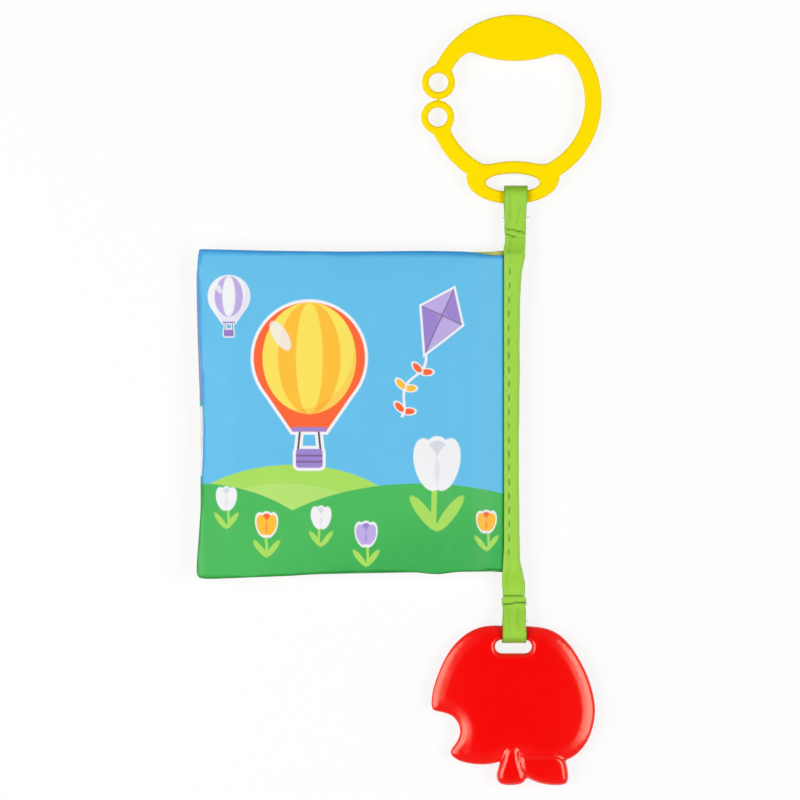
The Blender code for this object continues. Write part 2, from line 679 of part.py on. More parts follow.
def build():
    clear_scene()
    finishes = {
        "print": material("printed_polyester", (0.12, 0.50, 0.83), 0.55),
        "crinkle_film": material("crinkle_film", (0.85, 0.86, 0.88), 0.25),
        "wadding": material("wadding", (0.93, 0.93, 0.91), 0.95),
        "strap": material("green_satin_tape", (0.31, 0.64, 0.05), 0.45),
        "ring": material("yellow_plastic", (1.0, 0.78, 0.0), 0.35),
        "teether": material("red_plastic", (0.90, 0.005, 0.005), 0.18),
    }
    book = pivot("book", (-FOOTPRINT_MIDDLE[0], -FOOTPRINT_MIDDLE[1], 0))
    front_hinge = pivot("front_hinge", (0, 0, STACK_MIDDLE + HINGE_OFFSET), book)
    back_hinge = pivot("back_hinge", (0, 0, STACK_MIDDLE - HINGE_OFFSET), book)

    front = (FRONT_FORE_HEIGHT, FRONT_ROOT_HEIGHT, FRONT_DRAWN_IN)
    rear = (REAR_FORE_HEIGHT, REAR_ROOT_HEIGHT, REAR_DRAWN_IN)
    leaves = (
        ("front_cover", 1, front, front_hinge),
        ("middle_leaf", 0, rear, front_hinge),
        ("back_cover", -1, rear, back_hinge),
    )
    for name, order, sizes, hinge in leaves:
        leaf(name, order, sizes, hinge, finishes)
        bound_edge(name + "_bound_edge", order, sizes[1], finishes["print"], book)

    spine_binding(finishes["strap"], book)
    upper_tilt = -math.atan2(STACK_MIDDLE - RING_LEVEL, UPPER_REACH)
    lower_tilt = math.atan2(STACK_MIDDLE - TEETHER_LEVEL, LOWER_REACH)
    upper_bend = pivot("upper_bend", (STRAP_MIDDLE, BEND_PLACE, STACK_MIDDLE), book, upper_tilt)
    lower_bend = pivot("lower_bend", (LOWER_STRAP_MIDDLE, -BEND_PLACE, STACK_MIDDLE), book, lower_tilt)
    upper_length = math.hypot(UPPER_REACH, STACK_MIDDLE - RING_LEVEL)
    lower_length = math.hypot(LOWER_REACH, STACK_MIDDLE - TEETHER_LEVEL)
    tape = finishes["strap"]
    strap("upper_strap", upper_length, UPPER_NECK_SHARE, UPPER_LOOP, UPPER_SLACK, 1, tape, upper_bend)
    strap("lower_strap", lower_length, LOWER_NECK_SHARE, LOWER_LOOP, 0, -1, tape, lower_bend)

    ring_bar = pivot("ring_bar", (STRAP_MIDDLE, RING_BAR_PLACE, RING_LEVEL), book)
    teether_bar = pivot("teether_bar", (LOWER_STRAP_MIDDLE, -TEETHER_BAR_PLACE, TEETHER_LEVEL), book)
    hanging_ring(finishes["ring"], ring_bar)
    teether(finishes["teether"], teether_bar)


build()
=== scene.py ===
"""The looks of the crinkle cloth book: printed padded leaves in a green tape spine,
whose straps hold a yellow hanging ring and a red fruit-shaped teether."""

from math import atan2, cos, dist, exp, pi, radians, sin, sqrt

import bmesh
import bpy
import numpy as np
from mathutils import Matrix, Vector


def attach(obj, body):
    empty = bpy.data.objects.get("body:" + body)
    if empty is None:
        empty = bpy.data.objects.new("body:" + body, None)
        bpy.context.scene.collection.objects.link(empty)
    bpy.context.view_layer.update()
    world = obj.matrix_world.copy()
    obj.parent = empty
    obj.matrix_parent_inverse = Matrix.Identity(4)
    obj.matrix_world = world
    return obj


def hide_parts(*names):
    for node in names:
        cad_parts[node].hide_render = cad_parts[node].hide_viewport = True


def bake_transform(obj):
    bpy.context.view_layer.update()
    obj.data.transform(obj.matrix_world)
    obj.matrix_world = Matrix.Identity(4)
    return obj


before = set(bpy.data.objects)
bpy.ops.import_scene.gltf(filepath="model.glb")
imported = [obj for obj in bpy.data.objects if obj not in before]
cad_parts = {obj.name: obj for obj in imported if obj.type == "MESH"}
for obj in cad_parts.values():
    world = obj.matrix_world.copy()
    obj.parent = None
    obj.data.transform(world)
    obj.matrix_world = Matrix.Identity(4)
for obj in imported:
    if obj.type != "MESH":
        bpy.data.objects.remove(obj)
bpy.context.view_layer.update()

MM = 0.001

# Places and lengths of the book, in metres
ROOT_X = 0.044525  # where the leaves enter the spine
BOOK_Y = -0.0054625  # the book's middle line
STACK_Z = 0.0054  # middle of the three leaves
LEAF_WIDTH = 0.1307
LEAF_PITCH = 0.0037
LEAF_THICKNESS = 0.0034
ROOT_PITCH = 0.0015
SEAM_HALF = 0.0006
SEAM_RISE = 0.0055
ROOT_RISE = 0.015
SUNK = 0.0006  # how far each leaf runs on into the spine
FRONT_HEIGHTS = (0.1400, 0.1342)  # at the loose edge and at the spine
REAR_HEIGHTS = (0.1390, 0.1384)
GRID_STEP = 0.0019
CLOTH_STEPS = 20
UPPER_BEND = (0.049575, 0.0695375, 0.0054)
LOWER_BEND = (0.048775, -0.0804625, 0.0054)
RING_BAR = (0.049575, 0.0858375, 0.00435)
TEETHER_BAR = (0.048775, -0.0989625, 0.0052)

# The photograph's frame and the studio
FRAME_MIDDLE = (0.0004, -0.0001)
FRAME_WIDTH = 0.340
LENS = 135
SENSOR = 36
CEILING = 0.3  # how far the dark part of the ceiling reaches down, as a share of straight up
FLOOR_HALF = 30.0


def linear(red, green, blue):
    """A screen colour, 0 to 255, as the values that a shader takes."""
    shares = [c / 255 for c in (red, green, blue)]
    return tuple(s / 12.92 if s <= 0.04045 else ((s + 0.055) / 1.055) ** 2.4 for s in shares)


def ease(t):
    t = np.clip(t, 0, 1)
    return t * t * (3 - 2 * t)


def bell(offset, width):
    return np.exp(-((offset / width) ** 2))


# Materials worked out in nodes


def feed(tree, socket, given):
    """Gives a socket a fixed value, or a link from a field or another socket."""
    given = getattr(given, "source", given)
    if isinstance(given, bpy.types.NodeSocket):
        tree.links.new(given, socket)
    else:
        socket.default_value = given


def new_node(tree, kind):
    return tree.nodes.new("ShaderNode" + kind)


class Field:
    """A number that a material's nodes work out at each point."""

    def __init__(self, tree, source):
        self.tree, self.source = tree, source

    def work(self, operation, *others, clamp=False):
        node = new_node(self.tree, "Math")
        node.operation = operation
        node.use_clamp = clamp
        for socket, given in zip(node.inputs, (self, *others)):
            feed(self.tree, socket, given)
        return Field(self.tree, node.outputs[0])

    def __add__(self, other):
        return self.work("ADD", other)

    def __sub__(self, other):
        return self.work("SUBTRACT", other)

    def __mul__(self, other):
        return self.work("MULTIPLY", other)

    def times_plus(self, factor, addend):
        return self.work("MULTIPLY_ADD", factor, addend)

    def root(self):
        return self.work("SQRT")

    def size(self):
        return self.work("ABSOLUTE")

    def least(self, other):
        return self.work("MINIMUM", other)

    def most(self, other):
        return self.work("MAXIMUM", other)


class Paint:
    """Flat shapes painted one over the other on a print, in millimetres from its middle."""

    def __init__(self, tree, place, ground):
        self.tree = tree
        self.x, self.y = place
        self.colour = ground

    def turned(self, centre, turn, stretch=(1, 1)):
        """The place seen from a shape's own middle and turn, each way divided by its stretch."""
        c, s = cos(radians(turn)), sin(radians(turn))
        across = self.y.times_plus(s / stretch[0], -(centre[0] * c + centre[1] * s) / stretch[0])
        along = self.y.times_plus(c / stretch[1], (centre[0] * s - centre[1] * c) / stretch[1])
        return self.x.times_plus(c / stretch[0], across), self.x.times_plus(-s / stretch[1], along)

    def ellipse(self, centre, radii, turn=0):
        """Distance outside an ellipse, negative inside."""
        u, v = self.turned(centre, turn, radii)
        return u.work("MULTIPLY_ADD", u, v * v).root().times_plus(min(radii), -min(radii))

    def bar(self, centre, half, turn=0, radius=0):
        """Distance outside a rectangle with round corners, negative inside."""
        u, v = self.turned(centre, turn)
        u = u.size() - (half[0] - radius)
        v = v.size() - (half[1] - radius)
        inside = u.most(v).least(0)
        u, v = u.most(0), v.most(0)
        return u.work("MULTIPLY_ADD", u, v * v).root() + inside - radius

    def wave(self, level, height, length, shift=0):
        """Distance over a wavy line across the print."""
        swing = self.x.times_plus(2 * pi / length, shift).work("SINE")
        return self.y - swing.times_plus(height, level)

    def put(self, shape, colour, edge=0.16, strength=1):
        """Paints a colour inside a shape, with the slightly soft edge of a fabric print."""
        share = shape.work("MULTIPLY_ADD", -0.5 / edge, 0.5, clamp=True)
        if strength < 1:
            share = share * strength
        self.colour = mixed(self.tree, share, self.colour, colour)


def mixed(tree, share, old, new):
    """A colour between two others."""
    node = new_node(tree, "Mix")
    node.data_type = "RGBA"
    feed(tree, node.inputs["Factor"], share)
    for socket, given in zip(node.inputs[6:8], (old, new)):
        feed(tree, socket, (*given, 1) if isinstance(given, tuple) else given)
    return node.outputs[2]


def multiplied(tree, operation, colour, factor):
    """A colour times a number (SCALE) or times another colour (MULTIPLY)."""
    node = new_node(tree, "VectorMath")
    node.operation = operation
    feed(tree, node.inputs[0], colour)
    feed(tree, node.inputs["Scale" if operation == "SCALE" else 1], factor)
    return node.outputs[0]


def separate(tree, vector):
    node = new_node(tree, "SeparateXYZ")
    tree.links.new(vector, node.inputs[0])
    return [Field(tree, o) for o in node.outputs]


def attribute(tree, name):
    node = new_node(tree, "Attribute")
    node.attribute_name = name
    return node.outputs["Vector"]


def noise(tree, vector, scale, detail=2.0, roughness=0.5):
    node = new_node(tree, "TexNoise")
    tree.links.new(vector, node.inputs["Vector"])
    node.inputs["Scale"].default_value = scale
    node.inputs["Detail"].default_value = detail
    node.inputs["Roughness"].default_value = roughness
    return Field(tree, node.outputs["Fac"])


def shader_tree(name, roughness, specular=0.5, **inputs):
    """A new material's node tree and its shader."""
    made = bpy.data.materials.new(name)
    made.use_nodes = True
    shader = made.node_tree.nodes["Principled BSDF"]
    shader.inputs["Roughness"].default_value = roughness
    shader.inputs["Specular IOR Level"].default_value = specular
    for label, value in inputs.items():
        shader.inputs[label.replace("_", " ")].default_value = value
    return made, made.node_tree, shader


def weave(tree, place, pitch):
    """A plain weave's height: threads over and under each other, for a place in metres."""
    x, y = place
    turns = pi / pitch
    across = (x * turns).work("SINE")
    along = (y * turns).work("SINE")
    checker = (x * (turns / 2)).work("SINE") * (y * (turns / 2)).work("SINE")
    return across.size() * 0.5 + along.size() * 0.5 + checker * 0.4


def bump(tree, shader, height, distance, strength):
    node = new_node(tree, "Bump")
    node.inputs["Distance"].default_value = distance
    node.inputs["Strength"].default_value = strength
    tree.links.new(height.source, node.inputs["Height"])
    tree.links.new(node.outputs[0], shader.inputs["Normal"])


def shaded(tree, colour, share, low, high):
    """A colour multiplied by a number between low and high, as a field says."""
    return multiplied(tree, "SCALE", colour, share.times_plus(high - low, low))


def with_painted_shade(tree, colour, share, cast=None):
    """Painted shade: a colour darkened where a field nears 1, times a given colour as a painted bounce of
    light off a thing near it, or else times itself.
    """
    return mixed(tree, share, colour, multiplied(tree, "MULTIPLY", colour, cast or colour))


# Camera, light and floor


def placed(name, data):
    """A new object in the scene."""
    made = bpy.data.objects.new(name, data)
    bpy.context.scene.collection.objects.link(made)
    return made


def add_camera():
    data = bpy.data.cameras.new("camera")
    data.lens = LENS
    data.sensor_width = SENSOR
    camera = placed("camera", data)
    camera.location = (*FRAME_MIDDLE, STACK_Z + FRAME_WIDTH * LENS / SENSOR)
    data.clip_start = 0.05
    data.clip_end = 10
    bpy.context.scene.camera = camera


def add_area(name, place, size, power):
    """A softbox that faces the middle of the table."""
    data = bpy.data.lights.new(name, "AREA")
    data.shape = "RECTANGLE"
    data.size, data.size_y = size
    data.energy = power
    lamp = placed(name, data)
    lamp.location = place
    lamp.rotation_euler = (-Vector(place)).to_track_quat("-Z", "Y").to_euler()


def background_share(tree, shown):
    """How much the plain background shows: to the camera, in gloss and through clear pieces."""
    path = new_node(tree, "LightPath").outputs
    kinds = "Is Camera Ray", "Is Glossy Ray", "Is Transmission Ray"
    seen, gloss, through = [Field(tree, path[kind]) for kind in kinds]
    return seen.most(gloss).most(through) * shown


def add_world(strength):
    """A pale studio whose ceiling is dark straight above the table."""
    world = bpy.data.worlds.new("studio")
    world.use_nodes = True
    tree = world.node_tree
    back = tree.nodes["Background"]
    back.inputs["Color"].default_value = (1, 1, 1, 1)
    up = separate(tree, new_node(tree, "TexCoord").outputs["Generated"])[2]
    light = up.work("MULTIPLY_ADD", -1 / CEILING, 1 / CEILING, clamp=True) * strength
    feed(tree, back.inputs["Strength"], light)
    bpy.context.scene.world = world


def add_floor():
    mesh = bpy.data.meshes.new("floor")
    corners = [(x * FLOOR_HALF, y * FLOOR_HALF, 0) for x, y in ((-1, -1), (1, -1), (1, 1), (-1, 1))]
    mesh.from_pydata(corners, [], [(0, 1, 2, 3)])
    floor = placed("floor", mesh)
    made = bpy.data.materials.new("white_table")
    made.use_nodes = True
    tree = made.node_tree
    tree.nodes.clear()
    output = new_node(tree, "OutputMaterial")
    mix = new_node(tree, "MixShader")
    lit = new_node(tree, "BsdfDiffuse")
    lit.inputs["Color"].default_value = (0.93, 0.93, 0.93, 1)
    plain = new_node(tree, "Emission")
    plain.inputs["Strength"].default_value = 1
    feed(tree, mix.inputs[0], background_share(tree, 0.82))
    tree.links.new(lit.outputs[0], mix.inputs[1])
    tree.links.new(plain.outputs[0], mix.inputs[2])
    tree.links.new(mix.outputs[0], output.inputs["Surface"])
    mesh.materials.append(made)


bpy.context.scene.view_settings.view_transform = "Standard"
add_camera()
add_world(0.22)
add_area("left_softbox", (-1.0, -0.12, 1.0), (1.3, 0.95), 16.4)
add_area("right_softbox", (1.05, -0.10, 1.05), (1.3, 0.75), 14.1)
add_floor()


# Print colours
SKY = linear(98, 190, 233)
GREEN = linear(70, 184, 88)
DEEP_GREEN = linear(52, 172, 80)
LIME = linear(168, 220, 92)
PALE_LIME = linear(214, 240, 160)
WHITE = linear(240, 240, 243)
GREY_WHITE = linear(214, 217, 226)
YELLOW = linear(250, 225, 90)
GOLD = linear(253, 190, 50)
ORANGE = linear(250, 100, 45)
PURPLE = linear(155, 130, 205)
LAVENDER = linear(188, 170, 226)
PLUM = linear(80, 60, 65)
TEAL = linear(92, 190, 186)
SAND = linear(212, 214, 128)
SLATE = linear(150, 166, 208)


# Printed pictures, in millimetres from the middle of a leaf's face


def flower(paint, centre, size, bloom, shade, lean=0):
    """A tulip: two leaves, a stem and a three-petalled bloom with a white outline."""
    x, y = centre
    stem = 2.3 * size
    paint.put(paint.bar((x + 0.09 * lean * size, y - stem), (0.16 * size, 1.5 * size), lean), LIME)
    for way in (1, -1):
        spot = x + way * 0.75 * size, y - 2.9 * size
        paint.put(paint.ellipse(spot, (0.34 * size, 1.25 * size), -38 * way), LIME)
    middle = paint.ellipse((x, y), (0.78 * size, 1.25 * size))
    sides = []
    for way in (1, -1):
        spot = x + way * 0.52 * size, y - 0.12 * size
        sides.append(paint.ellipse(spot, (0.62 * size, 1.22 * size), -14 * way))
    whole = sides[0].least(sides[1]).least(middle)
    paint.put(whole - 0.16 * size, WHITE)
    paint.put(middle, shade)
    for side in sides:
        paint.put(side, bloom)
    paint.put(sides[0].most(sides[1]), shade, strength=0.55)


def balloon(paint, centre, size, gores, basket, dusk):
    """A hot-air balloon: striped envelope, skirt, ropes and basket, with a white outline."""
    x, y = centre
    envelope = paint.ellipse(centre, (size, size))
    u, v = paint.turned(centre, 0, (size, size))
    flank = (u.size() - v * 0.69 - 1.211) * (0.82 * size)
    cone = flank.most((v * -1 - 1.32) * size).most((v + 0.568) * size)
    whole = envelope.least(cone)
    hang = paint.bar((x, y - 1.80 * size), (0.24 * size, 0.17 * size), radius=0.06 * size)
    ropes = []
    for way in (1, -1):
        spot = x + way * 0.185 * size, y - 1.48 * size
        ropes.append(paint.bar(spot, (0.018 * size, 0.20 * size), 6 * way))
    paint.put(whole.least(hang).least(ropes[0]).least(ropes[1]) - 0.055 * size, WHITE)
    for rope in ropes:
        paint.put(rope, PLUM)
    for share, colour in gores:
        gore = paint.ellipse(centre, (share * size, size))
        paint.put(gore.most(whole) if share < 1 else whole, colour)
    shine = paint.ellipse((x - 0.52 * size, y + 0.40 * size), (0.13 * size, 0.30 * size), 32)
    paint.put(shine, WHITE, strength=0.75)
    shade = paint.ellipse((x - 0.22 * size, y + 0.16 * size), (1.02 * size, 1.08 * size)) * -1
    paint.put(shade.most(whole), dusk, strength=0.22)
    paint.put(paint.bar((x, y - 1.29 * size), (0.31 * size, 0.05 * size)).most(whole), basket)
    paint.put(hang, basket)
    for level in (-0.06, 0.05):
        paint.put(paint.bar((x, y + (level - 1.80) * size), (0.24 * size, 0.017 * size)), PLUM, strength=0.6)


def kite(paint, centre, size, turn):
    """A diamond kite of four panes on a waving tail with bows."""
    x, y = centre
    c, s = cos(radians(turn)), sin(radians(turn))

    def spot(u, v):
        return x + (u * c - v * s) * size, y + (u * s + v * c) * size

    u, v = paint.turned((x, y), turn, (size, size))
    swing = v.times_plus(3.6, 1.5).work("SINE")
    tail = ((u - swing * 0.15).size() - 0.045) * (0.86 * size)
    paint.put(tail.most((v * -1 - 3.55) * size).most((v + 1.33) * size), WHITE)
    for low, colour in ((-1.88, ORANGE), (-2.58, GOLD), (-3.28, ORANGE)):
        middle = 0.15 * sin(3.6 * low + 1.5)
        for way in (1, -1):
            bow = paint.ellipse(spot(middle + 0.17 * way, low), (0.19 * size, 0.10 * size), turn + 24 * way)
            paint.put(bow - 0.035 * size, WHITE)
            paint.put(bow, colour)
    upper = (u.size() * 1.30 + v - 0.95) * (size / 1.64)
    lower = (u.size() * 1.84 - v - 1.345) * (size / 2.094)
    whole = upper.most(lower)
    paint.put(whole - 0.075 * size, WHITE)
    paint.put(whole, PURPLE)
    paint.put(whole.most(u * v * size), LAVENDER)
    paint.put((u.size() * size - 0.02 * size).most(whole), PLUM, strength=0.6)
    paint.put((v.size() * size - 0.02 * size).most(whole), PLUM, strength=0.6)


def front_picture(paint):
    """Sky with a hot-air balloon and a kite, over hills with tulips."""
    paint.put(paint.ellipse((-26, -62), (58, 40), 3), LIME)
    paint.put(paint.ellipse((-30, -70), (58, 40), 3), PALE_LIME, strength=0.22)
    paint.put(paint.ellipse((-62, -78), (62, 48), -5), GREEN)
    paint.put(paint.ellipse((34, -88), (92, 58), -3), GREEN)
    paint.put(paint.ellipse((52, -104), (92, 58), -3), DEEP_GREEN, edge=9, strength=0.8)
    gores = ((1, ORANGE), (0.84, YELLOW), (0.56, GOLD), (0.24, YELLOW))
    balloon(paint, (-17, 23), 23.5, gores, PURPLE, ORANGE)
    small = ((1, WHITE), (0.70, LAVENDER), (0.32, WHITE))
    balloon(paint, (-51, 49), 8.6, small, PURPLE, LAVENDER)
    kite(paint, (39, 41), 13, -24)
    flower(paint, (37, -21), 7.4, WHITE, GREY_WHITE, -2)
    flower(paint, (-52, -36), 3.3, WHITE, GREY_WHITE, 3)
    flower(paint, (-35, -47), 3.6, GOLD, ORANGE)
    flower(paint, (-12, -44), 3.2, WHITE, GREY_WHITE, -3)
    flower(paint, (7, -51), 3.6, LAVENDER, PURPLE, 2)
    flower(paint, (58, -46), 3.2, GOLD, ORANGE, 3)


def layered_picture(paint):
    """Bands of wavy colour from sand to sea, with a sun and fishes."""
    paint.put(paint.wave(62, 2, 62), SLATE)
    paint.put(paint.wave(9, 5, 48, 1.0), TEAL)
    paint.put(paint.wave(-1, 4, 56, 2.0), WHITE)
    paint.put(paint.wave(-27, 3, 40, 0.4), GREEN)
    sun = paint.ellipse((-22, 46), (13, 13))
    paint.put(sun - 1.4, WHITE)
    paint.put(sun, ORANGE)
    paint.put(paint.ellipse((-22, 46), (8.5, 8.5)), GOLD)
    for x, y, turn in ((28, -20, 8), (-30, -26, -12), (6, -52, 4)):
        fish(paint, (x, y), 11, turn)


def fish(paint, centre, size, turn):
    """A plain fish: an oval body with a tail and two stripes."""
    x, y = centre
    c, s = cos(radians(turn)), sin(radians(turn))
    body = paint.ellipse(centre, (size, 0.62 * size), turn)
    tail = paint.ellipse((x - 1.15 * size * c, y - 1.15 * size * s), (0.30 * size, 0.55 * size), turn)
    whole = body.least(tail)
    paint.put(whole - 0.10 * size, WHITE)
    paint.put(tail, ORANGE)
    paint.put(body, YELLOW)
    for share in (-0.30, 0.12):
        stripe = paint.ellipse((x + share * size * c, y + share * size * s), (0.10 * size, 0.70 * size), turn)
        paint.put(stripe.most(body), ORANGE)
    eye = x + 0.58 * size * c, y + 0.58 * size * s + 0.1 * size
    paint.put(paint.ellipse(eye, (0.09 * size, 0.11 * size)), PLUM)


def dotted_picture(rows, colours):
    """Rows of round dots in turn of colour, and a plain strip beside the spine."""

    def draw(paint):
        for row in range(rows):
            y = 58 - row * 116 / (rows - 1)
            shift = 9 if row % 2 else 0
            across = (paint.x + (200 + shift)).work("WRAP", 18.0, 0.0) - 9
            off = across.work("MULTIPLY_ADD", across, (paint.y - y) * (paint.y - y)).root()
            paint.put(off - 5.2, colours[row % len(colours)])
            paint.put(off - 2.1, WHITE, strength=0.8)
        paint.put(paint.x + 53, colours[0])

    return draw


def checked_picture(paint):
    """Broad check of crossing stripes."""
    for place in (paint.x, paint.y):
        swing = (place + 240).work("PINGPONG", 12.0)
        paint.put(swing - 6, PALE_LIME, strength=0.55)
        paint.put((swing - 1.1).size() - 0.5, WHITE, strength=0.7)


def print_material(name, ground, draw, flip=False, painted_shade_strength=0.4):
    """Printed polyester: a picture on a fine plain weave, a little worn, with painted shade along its seams,
    widest at the upper seam, and a painted green-tinted shadow where it enters the spine.
    """
    made, tree, shader = shader_tree(name, 0.52, 0.35, Sheen_Weight=0.12, Sheen_Roughness=0.4)
    place = attribute(tree, "leaf_place")
    x, y, edge = separate(tree, place)
    paint = Paint(tree, (x * (-1000 if flip else 1000), y * 1000), ground)
    draw(paint)
    mottle = noise(tree, place, 55, 3)
    colour = shaded(tree, paint.colour, mottle, 0.955, 1.03)
    threads = weave(tree, (x, y), 0.00042)
    colour = shaded(tree, colour, threads, 0.975, 1.01)
    # Painted shade along the seams, where the padded cloth rolls under; it reaches unevenly, and a little
    # further along the upper seam.
    upper = y.work("MULTIPLY_ADD", 130, -8.0, clamp=True)
    reach = noise(tree, place, 70, 1).work("MULTIPLY_ADD", 0.0030, upper * 0.0022).most(0.0004)
    fold = edge.work("DIVIDE", reach).work("MULTIPLY_ADD", -1.35, 1.35, clamp=True)
    colour = with_painted_shade(tree, colour, fold * painted_shade_strength)
    # Painted shadow of the spine's lip where the leaf enters it, tinted green as a painted bounce of light
    # off the tape.
    root = x.work("MULTIPLY_ADD", 1400, -90.2, clamp=True)
    colour = with_painted_shade(tree, colour, root * painted_shade_strength, (0.06, 0.40, 0.16))
    tree.links.new(colour, shader.inputs["Base Color"])
    bump(tree, shader, threads, 0.00003, 0.5)
    return made


# Meshes


def new_object(name, points, faces, materials, marks=None):
    """A smooth mesh object; marks gives each face's material."""
    mesh = bpy.data.meshes.new(name)
    mesh.from_pydata([tuple(p) for p in points], [], [tuple(f) for f in faces])
    for material in materials:
        mesh.materials.append(material)
    if marks is not None:
        mesh.polygons.foreach_set("material_index", np.asarray(marks, np.int32))
    mesh.polygons.foreach_set("use_smooth", [True] * len(mesh.polygons))
    mesh.update()
    return placed(name, mesh)


def mesh_points(mesh):
    found = np.zeros(len(mesh.vertices) * 3)
    mesh.vertices.foreach_get("co", found)
    return found.reshape(-1, 3)


def set_points(mesh, points):
    mesh.vertices.foreach_set("co", np.asarray(points, np.float32).ravel())
    mesh.update()


def set_place(mesh, name, vectors):
    """Stores a vector at each point, which materials read and which keeps to the cloth as it moves."""
    layer = mesh.attributes.new(name, "FLOAT_VECTOR", "POINT")
    layer.data.foreach_set("vector", np.asarray(vectors, np.float32).ravel())


def apply_modifiers(made):
    """Turns an object's modifiers into its mesh."""
    graph = bpy.context.evaluated_depsgraph_get()
    graph.update()
    final = made.evaluated_get(graph)
    final = bpy.data.meshes.new_from_object(final, preserve_all_data_layers=True, depsgraph=graph)
    old = made.data
    made.modifiers.clear()
    made.data = final
    final.name = made.name
    bpy.data.meshes.remove(old)


# Leaves


def seam_steps(length):
    """Distances from a sewn edge, close together there and even further in."""
    near = np.array([0, 0.3, 0.65, 1.05, 1.5, 2.1, 2.9, 4.0]) * MM
    count = round((length - near[-1]) / GRID_STEP)
    return np.concatenate((near, np.linspace(near[-1], length, count + 1)[1:]))


def by_knots(place, knots):
    """A length read off between knots, all in millimetres."""
    places, lengths = zip(*knots)
    return np.interp(place / MM, places, lengths) * MM


def soft_cap(distance, low, high):
    """A distance held between -low and high, easing towards them."""
    return np.where(distance > 0, high * np.tanh(distance / high), low * np.tanh(distance / low))


class Leaf:
    """One leaf's grid of places, from its loose edge to the spine and from its lower seam to its upper."""

    def __init__(self, order, heights, seams, crown=0):
        self.order, self.crown = order, crown
        fore, root = heights
        fine = seam_steps(LEAF_WIDTH - ROOT_RISE)
        thinning = np.linspace(LEAF_WIDTH - ROOT_RISE, LEAF_WIDTH + SUNK, 13)[1:]
        column = np.concatenate((fine, thinning))[:, None]
        half_rows = seam_steps(fore / 2)
        share = np.concatenate((half_rows / fore, 1 - half_rows[-2::-1] / fore))[None, :]
        out = np.maximum(1 - column / LEAF_WIDTH, 0)
        half = (root + (fore - root) * out**1.6) / 2
        across = 2 * share - 1
        power = np.where(across > 0, 260, 60)
        near = np.maximum(np.maximum(out, abs(across)), 1e-9)
        rounding = np.maximum((out / near) ** power + (abs(across) / near) ** power, 1) ** (-1 / power)
        pull = by_knots(half * across, seams["loose"]) * out
        self.x = pull + np.maximum(column, LEAF_WIDTH) - LEAF_WIDTH * (1 + out * rounding)
        self.y = half * across * rounding
        stray = np.where(across < 0, -by_knots(column, seams["lower"]), by_knots(column, seams["upper"]))
        self.y = self.y + stray * np.abs(across) ** 3
        self.edge = np.minimum(column, half * (1 - abs(across))) + 0 * across
        self.root = (LEAF_WIDTH - column) + 0 * across

    def level(self):
        return self.order * (ROOT_PITCH + (LEAF_PITCH - ROOT_PITCH) * ease(self.root / ROOT_RISE))

    def half_thickness(self):
        roll = 1 - np.clip(self.edge / (1.1 * MM), 0, 1)
        full = LEAF_THICKNESS / 2 - SEAM_HALF
        rise = 1 - (1 - np.clip(self.edge / SEAM_RISE, 0, 1)) ** 2
        return SEAM_HALF * np.sqrt(1 - roll**2) + full * np.minimum(rise, ease(self.root / ROOT_RISE))

    def crowning(self):
        """How much higher the upper face of a loose cover lies towards its middle."""
        far = 1 - (1 - np.clip(self.edge / (26 * MM), 0, 1)) ** 2
        return self.crown * far * ease(self.root / (26 * MM))

    def mesh(self, name, materials):
        """A closed pillow of two sheets that meet at the seams, with its side of each point."""
        rows, columns = self.x.shape
        level, half = self.level(), self.half_thickness()
        ids = np.arange(rows * columns).reshape(rows, columns)
        on_seam = np.zeros((rows, columns), bool)
        on_seam[0, :] = on_seam[:, 0] = on_seam[:, -1] = True
        under = ids.copy()
        under[~on_seam] = rows * columns + np.arange((~on_seam).sum())
        upper = np.stack((self.x, self.y, level + half + self.crowning()), axis=-1).reshape(-1, 3)
        lower = np.stack((self.x, self.y, level - half), axis=-1)[~on_seam]
        points = np.concatenate((upper, lower)) + (ROOT_X, BOOK_Y, STACK_Z)
        faces, marks = [], []
        for i in range(rows - 1):
            for j in range(columns - 1):
                quad = (i, j), (i + 1, j), (i + 1, j + 1), (i, j + 1)
                faces += [[ids[k] for k in quad], [under[k] for k in reversed(quad)]]
                marks += [0, 1]
        for j in range(columns - 1):
            wall = [ids[-1, j], under[-1, j], under[-1, j + 1], ids[-1, j + 1]]
            faces.append(list(dict.fromkeys(wall)))
            marks.append(0)
        made = new_object(name, points, faces, materials, marks)

        def listed(field):
            return np.concatenate((field.reshape(-1), field[~on_seam]))

        middle = LEAF_WIDTH / 2
        place = np.stack((listed(self.x) + middle, listed(self.y), listed(self.edge)), axis=-1)
        set_place(made.data, "leaf_place", place)
        side = np.concatenate((np.where(on_seam, 0, 1).reshape(-1), -np.ones((~on_seam).sum())))
        return made, side, listed(self.edge), listed(self.root)


def settle(made, root):
    """The pillow's points after its two sheets, a little larger than their seams, fill out as cloth."""
    work = placed("settling", made.data.copy())
    held = work.vertex_groups.new(name="held")
    held.add([int(i) for i in np.nonzero(root < 3 * MM)[0]], 1, "REPLACE")
    cloth = work.modifiers.new("cloth", "CLOTH")
    values = cloth.settings
    values.quality = 6
    values.mass = 0.12
    values.air_damping = 3
    values.tension_stiffness = values.compression_stiffness = 30
    values.shear_stiffness = 12
    values.bending_stiffness = 0.4
    values.use_pressure = True
    values.uniform_pressure_force = 0.6
    values.vertex_group_mass = held.name
    values.shrink_min = -0.004
    values.effector_weights.gravity = 0
    cloth.collision_settings.use_collision = False
    scene = bpy.context.scene
    for step in range(CLOTH_STEPS):
        scene.frame_set(step + 1)
    settled = work.evaluated_get(bpy.context.evaluated_depsgraph_get())
    points = mesh_points(settled.to_mesh())
    settled.to_mesh_clear()
    data = work.data
    bpy.data.objects.remove(work)
    bpy.data.meshes.remove(data)
    scene.frame_set(1)
    return points


def ripples(along, seed, length):
    """An uneven wave along a seam, between about -1 and 1."""
    turn = 2 * pi * along / length
    drift = 1.7 * np.sin(turn * 0.231 + seed) + 0.9 * np.sin(turn * 0.417 + 2 * seed)
    return 0.62 * np.sin(turn + drift) + 0.38 * np.sin(1.83 * turn + 1.4 * drift + seed)


